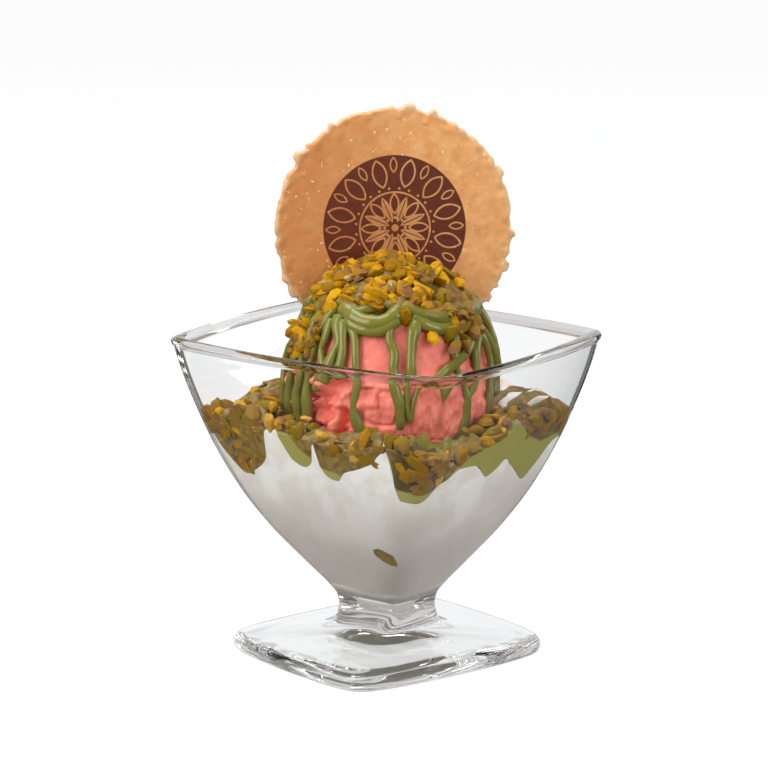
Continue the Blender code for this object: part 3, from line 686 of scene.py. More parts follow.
def bed_skin():
    """Grid of the layer of sauce and nuts on the cream: a band round the glass whose section runs up the glass,
    across to the scoop and back under the cream's top."""
    turns = np.arange(BED_COLUMNS)[None, :] * 4 / BED_COLUMNS
    low = smooth_between(turns, BED_LOW)
    high = np.maximum(smooth_between(turns, BED_HIGH), low)
    present = bed_presence(turns)
    green_top = smooth_between(turns, BED_GREEN_TOP)
    edge = cream_edge_height(turns)
    inset = WALL - BED_BITE + BED_RETREAT * (1 - present)
    rings, nutty, pressed = [], [], []
    pool = eased(turns, 2.85, 3.1) * eased(turns, 3.95, 3.7)
    for share in np.linspace(0, 1, 34):
        level = low + (high - low) * share
        rounding = 1.4 * (eased(share, 0.88, 1.0) ** 2 + 0.4 * eased(1 - share, 0.94, 1.0) ** 2)
        flat = np.stack(np.broadcast_arrays(100 * turns, 0 * turns, level), axis=-1)
        hollow = 1.7 * eased(soft_noise(flat, 4.2, 44) + 0.5 * soft_noise(flat, 2.0, 45), 0.0, 0.7)
        hollow = hollow * eased(level, edge + 0.5, edge + 2.0) * eased(level, green_top, green_top + 1.5)
        rings.append(level_ring(glass_plan(turns, level, inset=inset + rounding + hollow), level))
        nutty.append(eased(level - green_top, -0.25, 0.25)[0])
        pressed.append(1 - nutty[-1])
    wall = glass_plan(turns, high, inset=inset + 1.4)
    thick = np.maximum(high - edge, 0.0)
    for share in np.linspace(0, 1, 46)[1:]:
        level = cream_level(turns, share, edge) + bed_lift(thick, share, present)
        points = level_ring(toward_scoop(wall, share, SCOOP_REACH - 1.5), level)
        bump = 0.9 * soft_noise(points, 3.6, 41) + 0.5 * soft_noise(points, 1.8, 42)
        points[:, 2] += bump * min(1.0, 5 * share)
        rings.append(points)
        bare = 1.5 * pool[0] * eased(share, 0.25, 0.6)
        nutty.append(eased(0.45 + 0.9 * soft_noise(points, 7.0, 43) + 0.3 * present[0] - bare, 0.2, 0.5))
        pressed.append(np.zeros(BED_COLUMNS))
    wall = glass_plan(turns, low, inset=inset + 2.4)
    for share in np.linspace(1, 0, 12):
        level = cream_level(turns, share, edge) * share + (low - 0.2) * (1 - share)
        level = level - 3.0 * share - 1.5 * (1 - share)
        rings.append(level_ring(toward_scoop(wall, share, SCOOP_REACH - 1.5), level))
        nutty.append(np.ones(BED_COLUMNS))
        pressed.append(np.zeros(BED_COLUMNS))
    return np.array(rings), np.array(nutty), np.array(pressed)


def chip_template(rows=5, columns=8):
    """Points of a unit ball on a grid that winds a little from ring to ring, and its faces' index arrays."""
    angle = np.linspace(0.35, np.pi - 0.35, rows)[:, None]
    turn = np.arange(columns)[None, :] * 2 * np.pi / columns + 0.4 * np.arange(rows)[:, None]
    ball = (np.sin(angle) * np.cos(turn), np.sin(angle) * np.sin(turn), np.cos(angle))
    grid = np.stack(np.broadcast_arrays(*ball), axis=-1)
    points = np.vstack([grid.reshape(-1, 3), (0, 0, 1), (0, 0, -1)])
    return points, rows_of_faces(rows, columns), caps_of_faces(rows, columns)


def turned(vectors, angles):
    """Rotates stacks of vectors by stacks of three angles, about X, then Y, then Z."""
    a, b, c = angles[:, 0], angles[:, 1], angles[:, 2]
    zero, one = np.zeros_like(a), np.ones_like(a)
    about_x = np.array([[one, zero, zero], [zero, np.cos(a), -np.sin(a)], [zero, np.sin(a), np.cos(a)]])
    about_y = np.array([[np.cos(b), zero, np.sin(b)], [zero, one, zero], [-np.sin(b), zero, np.cos(b)]])
    about_z = np.array([[np.cos(c), -np.sin(c), zero], [np.sin(c), np.cos(c), zero], [zero, zero, one]])
    matrix = np.einsum("ijn,jkn,kln->nil", about_z, about_y, about_x)
    return np.einsum("nij,nvj->nvi", matrix, vectors)


def wall_frame(turns, heights, inset):
    """Points on the glass wall at an inset, and its outward normals, from central differences."""
    step = 0.02

    def place(turn, height):
        return level_ring(glass_plan(turn[None], height[None], inset=inset), height)

    along = place(turns + step, heights) - place(turns - step, heights)
    upward = place(turns, heights + step) - place(turns, heights - step)
    normal = np.cross(along, upward)
    return place(turns, heights), normal / np.linalg.norm(normal, axis=1, keepdims=True)


def chips_piece(name, places, lengths, tones, rng, material, wall=None):
    """Chips of nut: unit balls cut flat by random planes, stretched, turned and put in their places.

    The skin value is 1 on the side of a chip that kept the nut's brown skin. Where the wall's points and
    normals are given, whatever would stand beyond the wall is pressed flat against it."""
    ball, quads, caps = chip_template()
    count = len(places)
    points = np.repeat(ball[None], count, axis=0)
    for _ in range(6):
        normal = rng.standard_normal((count, 3))
        normal /= np.linalg.norm(normal, axis=1, keepdims=True)
        depth = rng.uniform(0.4, 0.85, count)
        beyond = np.maximum(np.einsum("nvi,ni->nv", points, normal) - depth[:, None], 0)
        points -= beyond[..., None] * normal[:, None]
    skin_side = rng.standard_normal((count, 3))
    skin_side /= np.linalg.norm(skin_side, axis=1, keepdims=True)
    skin = eased(np.einsum("nvi,ni->nv", points, skin_side), 0.25, 0.5)
    skin *= (rng.random(count) < 0.45)[:, None]
    wide = rng.uniform(0.3, 0.48, count)
    thick = rng.uniform(0.24, 0.38, count)
    stretch = lengths[:, None] * np.stack([np.full(count, 0.66), wide, thick], axis=-1)
    angles = np.stack(
        [rng.normal(0, 0.6, count), rng.normal(0, 0.6, count), rng.uniform(0, 2 * np.pi, count)], axis=-1
    )
    points = turned(points * stretch[:, None], angles) + places[:, None]
    if wall is not None:
        beyond = np.maximum(np.einsum("nvi,ni->nv", points - wall[0][:, None], wall[1]), 0)
        points -= beyond[..., None] * wall[1][:, None]
    offsets = np.arange(count)[:, None, None] * len(ball)
    all_quads = (quads[None] + offsets).reshape(-1, 4)
    all_caps = (caps[None] + offsets).reshape(-1, 3)
    values = {"tone": np.repeat(tones[:, None], len(ball), axis=1), "skin": skin}
    return make_piece(name, points.reshape(-1, 3), all_quads, all_caps, material, values, 38)


def wafer_skin():
    """Grid of the wafer: rings from the middle of the front, over the ragged edge, to the middle of the back.

    The edge's radius is a circle with burrs and lumps from noise, and the rim bulges where batter ran over."""
    turn = np.arange(WAFER_COLUMNS) * 2 * np.pi / WAFER_COLUMNS
    circle = WAFER_REACH * np.stack([np.cos(turn), np.sin(turn), 0 * turn], axis=-1)
    burr = 0.6 * soft_noise(circle, 2.2, 51) + 0.45 * soft_noise(circle, 6.0, 52)
    burr += 1.3 * eased(soft_noise(circle, 3.2, 53), 0.15, 0.6)
    edge = WAFER_REACH - 0.25 + burr
    half = WAFER_THICKNESS / 2
    rings = []
    front = np.concatenate([np.linspace(0.02, 0.9, 70), np.linspace(0.91, 0.975, 12)])
    sections = [(share, half) for share in front]
    sections += [(1 - 0.025 * (1 - math.cos(a)), half * math.sin(a)) for a in np.linspace(1.3, -1.3, 9)]
    sections += [(share, -half) for share in front[::-1]]
    for share, level in sections:
        radius = edge * share if share > 0.9 else WAFER_REACH * share + (edge - WAFER_REACH) * share**6
        flat = np.stack([radius * np.cos(turn), radius * np.sin(turn), 0 * turn], axis=-1)
        relief = 0.12 * soft_noise(flat, 5.0, 54) + 0.07 * soft_noise(flat, 1.4, 55)
        lumps = eased(share, 0.86, 0.97) * 0.35 * soft_noise(flat, 2.6, 56)
        relief = np.sign(level) * (relief + lumps) * min(1.0, abs(level) / half)
        flat[:, 2] = level + relief - WAFER_DISHING * radius**2
        rings.append(flat)
    return np.array(rings)


def wafer_in_place(points):
    """Stands the flat wafer up facing the front, leans it back, turns it and moves it to its place."""
    lean, turn = math.radians(90 - WAFER_LEAN), math.radians(WAFER_TURN)
    about_x = np.array([[1, 0, 0], [0, math.cos(lean), -math.sin(lean)], [0, math.sin(lean), math.cos(lean)]])
    about_z = np.array([[math.cos(turn), -math.sin(turn), 0], [math.sin(turn), math.cos(turn), 0], [0, 0, 1]])
    return points @ (about_z @ about_x).T + WAFER_CENTRE


class Tree:
    """Short calls that add shader nodes to one material or world."""

    def __init__(self, owner):
        owner.use_nodes = True
        self.owner = owner
        self.nodes = owner.node_tree.nodes
        self.links = owner.node_tree.links
        self.shader = self.nodes.get("Principled BSDF")
        self.places = self.add("ShaderNodeTexCoord").outputs

    def add(self, kind, **settings):
        made = self.nodes.new(kind)
        for key, value in settings.items():
            setattr(made, key, value)
        return made

    def plug(self, source, socket):
        if isinstance(source, bpy.types.NodeSocket):
            self.links.new(source, socket)
        else:
            socket.default_value = source

    def calc(self, operation, *values):
        made = self.add("ShaderNodeMath", operation=operation)
        for value, socket in zip(values, made.inputs):
            self.plug(value, socket)
        return made.outputs[0]

    def times(self, first, second):
        return self.calc("MULTIPLY", first, second)

    def plus(self, first, second):
        return self.calc("ADD", first, second)

    def minus(self, first, second):
        return self.calc("SUBTRACT", first, second)

    def span(self, x, y):
        """Length of the vector with these two parts."""
        return self.calc("SQRT", self.plus(self.times(x, x), self.times(y, y)))

    def parts(self, place):
        """The X, Y and Z parts of a place."""
        made = self.add("ShaderNodeSeparateXYZ")
        self.links.new(place, made.inputs[0])
        return made.outputs

    def noise(self, size, detail=3.0, roughness=0.5):
        """Noise whose features are about size millimetres across."""
        made = self.add("ShaderNodeTexNoise")
        self.links.new(self.places["Object"], made.inputs["Vector"])
        made.inputs["Scale"].default_value = 1 / (size * MM)
        made.inputs["Detail"].default_value = detail
        made.inputs["Roughness"].default_value = roughness
        return made.outputs["Fac"]

    def ramp(self, factor, *stops):
        made = self.add("ShaderNodeValToRGB")
        elements = made.color_ramp.elements
        while len(elements) < len(stops):
            elements.new(0.5)
        for element, (place, colour) in zip(elements, stops):
            element.position = place
            element.color = (*colour, 1)
        self.links.new(factor, made.inputs["Fac"])
        return made.outputs["Color"]

    def steps(self, value, low, high, start=0.0, end=1.0):
        made = self.add("ShaderNodeMapRange", interpolation_type="SMOOTHSTEP")
        for number, socket in zip((value, low, high, start, end), made.inputs):
            self.plug(number, socket)
        return made.outputs[0]

    def mix(self, factor, first, second, **settings):
        made = self.add("ShaderNodeMix", data_type="RGBA", **settings)
        for value, socket in zip((factor, first, second), (made.inputs[0], made.inputs[6], made.inputs[7])):
            if isinstance(value, tuple):
                value = (*value, 1)
            self.plug(value, socket)
        return made.outputs[2]

    def value(self, name):
        return self.add("ShaderNodeAttribute", attribute_name=name).outputs["Fac"]

    def bump(self, height, strength, distance):
        made = self.add("ShaderNodeBump")
        made.inputs["Strength"].default_value = strength
        made.inputs["Distance"].default_value = distance * MM
        self.links.new(height, made.inputs["Height"])
        self.links.new(made.outputs["Normal"], self.shader.inputs["Normal"])

    def set(self, **values):
        for key, value in values.items():
            self.plug(value, self.shader.inputs[key.replace("_", " ")])

    def finish_with(self, choices):
        """Hands the surface over to other shaders, each for the rays where its factor is 1."""
        shader = self.shader.outputs[0]
        for factor, other in choices:
            mixed = self.add("ShaderNodeMixShader")
            for source, socket in zip((factor, shader, other), mixed.inputs):
                self.links.new(source, socket)
            shader = mixed.outputs[0]
        self.links.new(shader, self.nodes["Material Output"].inputs["Surface"])


def material_tree(name):
    return Tree(bpy.data.materials.new(name))


def scaled(colour, factor):
    return tuple(min(1.0, c * factor) for c in colour)


def glass_material(settings):
    """Clear glass, greyed by painted shade on its thick rim bead and stem, that lets shadow rays and diffuse
    rays straight through.
    """
    tree = material_tree("clear_moulded_glass")
    # Painted shade: where thick is set, at the rim's bead and the stem, the near-white base colour turns dark
    # grey-brown
    tint_and_painted_shade = tree.mix(tree.value("thick"), (0.985, 0.99, 0.992), (0.42, 0.39, 0.36))
    tree.set(Base_Color=tint_and_painted_shade, Roughness=0.0, IOR=settings.bend, Transmission_Weight=1.0)
    tree.set(Specular_Tint=(0.4, 0.4, 0.4, 1))
    low = tree.steps(tree.parts(tree.places["Object"])[2], 20 * MM, 12 * MM, 0.1, 1.0)
    tree.bump(tree.times(tree.noise(14.0, 1.0), low), 1.0, 0.15)
    rays = tree.add("ShaderNodeLightPath").outputs
    through = tree.add("ShaderNodeBsdfTransparent")
    through.inputs["Color"].default_value = (0.95, 0.96, 0.96, 1)
    tree.finish_with((rays[ray], through.outputs[0]) for ray in ("Is Shadow Ray", "Is Diffuse Ray"))
    return tree.owner


def cream_material(settings):
    """White cream with paler and darker patches, and painted shade that greys it further down in the glass."""
    tree = material_tree("soft_white_cream")
    base = tuple(settings.cream)
    blotch = tree.steps(tree.noise(12.0, 4.0, 0.6), 0.4, 0.6)
    colour = tree.mix(blotch, (base[0] * 0.9, base[1] * 0.88, base[2] * 0.85), scaled(base, 1.05))
    # Painted shade: lower in the glass, along a noisy edge, the cream's colour is mixed towards grey
    depth = tree.plus(tree.parts(tree.places["Object"])[2], tree.times(tree.noise(22.0, 2.0), 14 * MM))
    painted_low_shade = tree.steps(depth, 77 * MM, 40 * MM)
    grey = (base[0] * 0.51, base[1] * 0.465, base[2] * 0.425)
    colour = tree.mix(painted_low_shade, colour, tree.mix(0.85, colour, grey))
    tree.set(Base_Color=colour, Roughness=0.42)
    tree.set(Subsurface_Weight=0.15, Subsurface_Radius=(1.0, 0.8, 0.6), Subsurface_Scale=2.0 * MM)
    tree.bump(tree.noise(1.6, 4.0), 0.3, 0.25)
    return tree.owner


def ice_cream_material(settings):
    """Pink ice cream with a fine grain of paler and deeper pink, and painted shade that deepens it a little in
    its hollows.
    """
    tree = material_tree("strawberry_ice_cream")
    base = tuple(settings.pink)
    colour = tree.ramp(
        tree.noise(4.0, 5.0, 0.6),
        (0.3, scaled(base, 0.78)),
        (0.52, base),
        (0.75, (1.0, min(1.0, base[1] * 1.35), min(1.0, base[2] * 1.35))),
    )
    # Painted shade: the hollows of the relief are mixed towards a deeper pink
    colour = tree.mix(tree.value("hollow"), colour, (base[0] * 0.95, base[1] * 0.88, base[2] * 0.86))
    tree.set(Base_Color=colour, Roughness=0.5)
    tree.set(Subsurface_Weight=0.2, Subsurface_Radius=(1.0, 0.35, 0.25), Subsurface_Scale=1.6 * MM)
    tree.bump(tree.noise(0.9, 5.0, 0.65), 0.55, 0.35)
    return tree.owner


def sauce_material(settings):
    """Glossy green sauce, lighter where glass presses on it, rough and brown where nuts are mixed in, and
    darkened by painted shade on the top of the dome and on parts of the layer on the cream.
    """
    tree = material_tree("pistachio_sauce")
    base = tuple(settings.sauce)
    green = tree.mix(tree.noise(6.0, 3.0), scaled(base, 0.82), scaled(base, 1.25))
    green = tree.mix(tree.value("pressed"), green, (base[0] * 2.05, base[1] * 1.95, base[2] * 3.1))
    brown = tree.ramp(
        tree.noise(2.2, 4.0, 0.6),
        (0.3, (0.09, 0.05, 0.01)),
        (0.5, (0.24, 0.14, 0.026)),
        (0.7, (0.33, 0.24, 0.042)),
    )
    # Painted shade: where this value is set, the brown is mixed towards a near-black brown
    brown = tree.mix(tree.value("painted_shade"), brown, tree.mix(0.8, brown, (0.055, 0.024, 0.005)))
    nutty = tree.value("nutty")
    rough = tree.steps(nutty, 0.0, 1.0, 0.12, 0.55)
    tree.set(Base_Color=tree.mix(nutty, green, brown), Roughness=rough, Specular_IOR_Level=0.36)
    grain = tree.times(tree.noise(1.6, 4.0, 0.6), tree.plus(tree.times(nutty, 1.7), 0.1))
    tree.bump(grain, 0.5, 0.6)
    return tree.owner


def nut_material():
    """Chopped nut in yellow, green and brown by each chip's tone, with brown skin on some sides."""
    tree = material_tree("chopped_pistachio")
    flesh = tree.ramp(
        tree.value("tone"),
        (0.0, (0.56, 0.36, 0.12)),
        (0.15, (0.64, 0.31, 0.001)),
        (0.42, (0.3, 0.125, 0.001)),
        (0.7, (0.24, 0.145, 0.006)),
        (1.0, (0.28, 0.13, 0.034)),
    )
    patches = tree.steps(tree.noise(1.6, 4.0, 0.65), 0.42, 0.62)
    flesh = tree.mix(patches, flesh, tree.mix(0.4, flesh, (0.2, 0.16, 0.002)))
    skin = tree.mix(tree.noise(0.8, 3.0), (0.13, 0.055, 0.025), (0.34, 0.16, 0.06))
    tree.set(Base_Color=tree.mix(tree.value("skin"), flesh, skin), Roughness=0.6, Specular_IOR_Level=0.1)
    tree.bump(tree.noise(0.9, 4.0, 0.6), 0.7, 0.4)
    return tree.owner


def wafer_pattern(tree, across, upward):
    """1 on the medallion's pale lines: a rosette of leaves, a ring of dots and a ring of upright leaves."""
    radius = tree.span(across, upward)
    angle = tree.calc("ARCTAN2", upward, across)

    def local(count, phase):
        """Distances along and aside of the nearest of so many rays from the middle."""
        part = tree.calc("FRACT", tree.plus(tree.times(angle, count / (2 * math.pi)), 8.0 + phase))
        swing = tree.times(tree.minus(part, 0.5), 2 * math.pi / count)
        along = tree.times(radius, tree.calc("COSINE", swing))
        return along, tree.calc("ABSOLUTE", tree.times(radius, tree.calc("SINE", swing)))

    def leaf(count, phase, centre, half_length, half_width):
        """Signed distance to a pointed leaf, the overlap of two circles, repeated round the middle."""
        along, aside = local(count, phase)
        arc = (half_length**2 + half_width**2) / (2 * half_width)
        return tree.minus(tree.span(tree.minus(along, centre), tree.plus(aside, arc - half_width)), arc)

    def dot(count, phase, centre, size):
        along, aside = local(count, phase)
        return tree.minus(tree.span(tree.minus(along, centre), aside), size)

    def line(distance, width):
        return tree.steps(tree.calc("ABSOLUTE", distance), width * 0.5 + 0.08, width * 0.5 - 0.08)

    def inside(distance):
        return tree.steps(distance, 0.1, -0.1)

    pale = line(leaf(12, 0.0, 17.0, 4.2, 2.1), 0.55)
    for shape in (
        line(leaf(12, 0.5, 19.2, 2.2, 1.0), 0.45),
        inside(dot(24, 0.0, 12.1, 0.38)),
        line(tree.minus(radius, 10.9), 0.55),
        line(leaf(8, 0.5, 7.4, 3.0, 1.3), 0.5),
        inside(leaf(8, 0.0, 6.0, 4.2, 1.25)),
        inside(dot(8, 0.5, 3.2, 0.45)),
    ):
        pale = tree.calc("MAXIMUM", pale, shape)
    vein = tree.times(line(local(8, 0.0)[1], 0.3), tree.steps(radius, 9.4, 9.2))
    pale = tree.minus(pale, tree.times(vein, inside(leaf(8, 0.0, 6.0, 3.4, 0.9))))
    return radius, tree.calc("MAXIMUM", pale, inside(tree.minus(radius, 1.1)))


def wafer_material(settings):
    """Mottled biscuit with painted shade that darkens its left side, paler at its rim, with the medallion
    printed on its front.
    """
    tree = material_tree("baked_wafer")
    face = tree.parts(tree.add("ShaderNodeUVMap", uv_map="face").outputs["UV"])
    across, upward = (tree.times(tree.minus(face[axis], 0.5), FACE_SPAN) for axis in (0, 1))
    radius, pale = wafer_pattern(tree, across, upward)
    base = tuple(settings.biscuit)
    biscuit = tree.ramp(
        tree.noise(5.0, 5.0, 0.62),
        (0.3, (base[0] * 0.88, base[1] * 0.78, base[2] * 0.66)),
        (0.52, base),
        (0.75, (0.84, 0.47, 0.2)),
    )
    # Painted shade: the left of the wafer is mixed towards a darker brown
    darker_side = tree.steps(tree.plus(tree.times(across, 0.95), tree.times(upward, 0.12)), 24.0, -24.0)
    brown = (base[0] * 0.56, base[1] * 0.38, base[2] * 0.24)
    biscuit = tree.mix(darker_side, biscuit, tree.mix(0.6, biscuit, brown))
    specks = tree.steps(tree.noise(1.5, 1.0), 0.7, 0.76)
    biscuit = tree.mix(specks, biscuit, (0.9, 0.62, 0.34))
    rim = tree.steps(tree.plus(radius, tree.times(tree.noise(3.0, 2.0), 3.0)), 36.6, 38.6)
    biscuit = tree.mix(tree.times(rim, 0.6), biscuit, (0.78, 0.56, 0.33))
    disc = tree.steps(radius, MEDALLION_REACH + 0.12, MEDALLION_REACH - 0.12)
    disc = tree.times(disc, tree.value("front"))
    ink = tuple(settings.print_colour)
    ink = tree.mix(tree.noise(0.7, 2.0), ink, scaled(ink, 1.7))
    printed = tree.mix(pale, ink, tree.mix(0.25, biscuit, ink))
    tree.set(Base_Color=tree.mix(disc, biscuit, printed), Roughness=0.62, Specular_IOR_Level=0.3)
    tree.bump(tree.noise(1.1, 5.0, 0.6), 0.4, 0.3)
    return tree.owner


def floor_material():
    """Pale table top that is bright to look at, also through the glass, and sends less light to the food; in
    reflections it glows brighter near the glass, a painted pool of light.
    """
    tree = material_tree("pale_floor")
    tree.set(Base_Color=tree.mix(tree.noise(400.0, 2.0), (0.33, 0.33, 0.33), (0.35, 0.35, 0.34)))
    tree.set(Roughness=0.8, Specular_IOR_Level=0.0)
    rays = tree.add("ShaderNodeLightPath").outputs
    mirrored = tree.times(tree.calc("GREATER_THAN", rays["Glossy Depth"], 0.5), rays["Is Transmission Ray"])
    from_middle = tree.add("ShaderNodeVectorMath", operation="LENGTH")
    tree.links.new(tree.places["Object"], from_middle.inputs[0])
    # Painted light: seen in reflections, the floor glows brighter within a few centimetres of the glass than
    # further out
    painted_glow_near_glass = tree.steps(from_middle.outputs["Value"], 0.115, 0.07, 0.12, 0.62)

    def glowing(glow, grey):
        light = tree.add("ShaderNodeEmission")
        tree.plug(glow, light.inputs["Strength"])
        matt = tree.add("ShaderNodeBsdfDiffuse")
        matt.inputs["Color"].default_value = (grey, grey, grey, 1)
        both = tree.add("ShaderNodeAddShader")
        tree.links.new(light.outputs[0], both.inputs[0])
        tree.links.new(matt.outputs[0], both.inputs[1])
        return both.outputs[0]

    tree.finish_with(
        (
            (rays["Is Camera Ray"], glowing(0.9, 0.12)),
            (rays["Is Glossy Ray"], glowing(painted_glow_near_glass, 0.03)),
            (rays["Is Transmission Ray"], glowing(0.8, 0.15)),
            (mirrored, glowing(painted_glow_near_glass, 0.03)),
        )
    )
    tree.owner.cycles.emission_sampling = "NONE"
    return tree.owner


def settle(piece, slot, *nodes):
    """Makes a piece ride on the body and stand for CAD nodes, which it hides; its slot is not used."""
    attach(piece, BODY)
    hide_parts(*nodes)


class SUNDAE_OT_glass(bpy.types.Operator):
    """Make the moulded glass"""

    bl_idname = "sundae.glass"
    bl_label = "Glass"

    def execute(self, context):
        settings = context.scene.sundae_glass
        grid = glass_skin(settings)
        height = grid[..., 2]
        # Masks of the rim's bead and the stem, where the glass material paints shade
        bead = eased(height, GLASS_HEIGHT - 3.3, GLASS_HEIGHT - 2.4)
        stem = eased(height, 9.5, 12.0) * eased(height, 19.9, 18.0)
        piece = closed_surface("moulded_glass", grid, glass_material(settings), {"thick": 0.5 * bead + stem})
        settle(piece, "glass", "glass")
        return {"FINISHED"}


class SUNDAE_OT_cream(bpy.types.Operator):
    """Fill the glass with cream"""

    bl_idname = "sundae.cream"
    bl_label = "Cream"

    def execute(self, context):
        piece = closed_surface("cream_filling", cream_skin(), cream_material(context.scene.sundae_food), {})
        settle(piece, "cream", "cream")
        return {"FINISHED"}


class SUNDAE_OT_scoop(bpy.types.Operator):
    """Make the strawberry ice cream"""

    bl_idname = "sundae.scoop"
    bl_label = "Ice cream"

    def execute(self, context):
        grid, hollow = scoop_skin()
        material = ice_cream_material(context.scene.sundae_food)
        piece = closed_surface("ice_cream_dome", grid, material, {"hollow": hollow})
        settle(piece, "ice_cream", "scoop")
        return {"FINISHED"}


class SUNDAE_OT_sauce(bpy.types.Operator):
    """Drizzle pistachio sauce over the ice cream and lay it on the cream"""

    bl_idname = "sundae.sauce"
    bl_label = "Pistachio sauce"

    def execute(self, context):
        material = sauce_material(context.scene.sundae_food)
        rng = np.random.default_rng(4)
        grids = [sauce_cap_skin()]
        for seed, (width, stops) in enumerate(STRANDS):
            grids.append(sauce_rope(width, stops, 60 + seed))
        for seed, (width, stops) in enumerate(SWAGS):
            grids.append(sauce_rope(width, stops, 80 + seed, hangs=False))
        for index in range(BACK_STRANDS):
            start = 104 + 158 * index / (BACK_STRANDS - 1)
            foot = rng.uniform(76, 92)
            heights = np.linspace(rng.uniform(108, 112), foot, 6)
            wander = np.cumsum(rng.normal(0, 2.4, 6))
            stops = [(start + w, h, 0.7) for w, h in zip(wander, heights)]
            grids.append(sauce_rope(rng.uniform(2.4, 3.6), stops, 100 + index))
        for index in range(BACK_SWAGS):
            start = 96 + 28 * index
            stops = [(start + 7 * k, 109.5 + 1.6 * math.cos(k * 1.3 + index), 1.0) for k in range(6)]
            grids.append(sauce_rope(rng.uniform(3.0, 4.0), stops, 120 + index, hangs=False))
        plain = np.zeros((1, 1))
        values = [{"nutty": nutty_side(grid), "pressed": plain, "painted_shade": plain} for grid in grids]
        # Painted shade on the top of the dome
        values[0]["painted_shade"] = 0.5 * eased(grids[0][..., 2], 111.0, 113.0)
        settle(joined_surfaces("sauce_drizzle", grids, material, values), "ice_cream", "scoop")
        grid, nutty, pressed = bed_skin()
        turns = np.arange(grid.shape[1])[None, :] * 4 / grid.shape[1]
        # Painted shade at the front corner and on the right of the layer on the cream
        painted_shade = eased(turns, 2.79, 2.85) * eased(turns, 3.2, 3.1) + 0.6 * eased(turns, 3.5, 3.62)
        values = {"nutty": nutty, "pressed": pressed, "painted_shade": np.broadcast_to(painted_shade, grid.shape[:2])}
        settle(closed_surface("sauce_on_cream", grid, material, values), "cream", "cream")
        return {"FINISHED"}


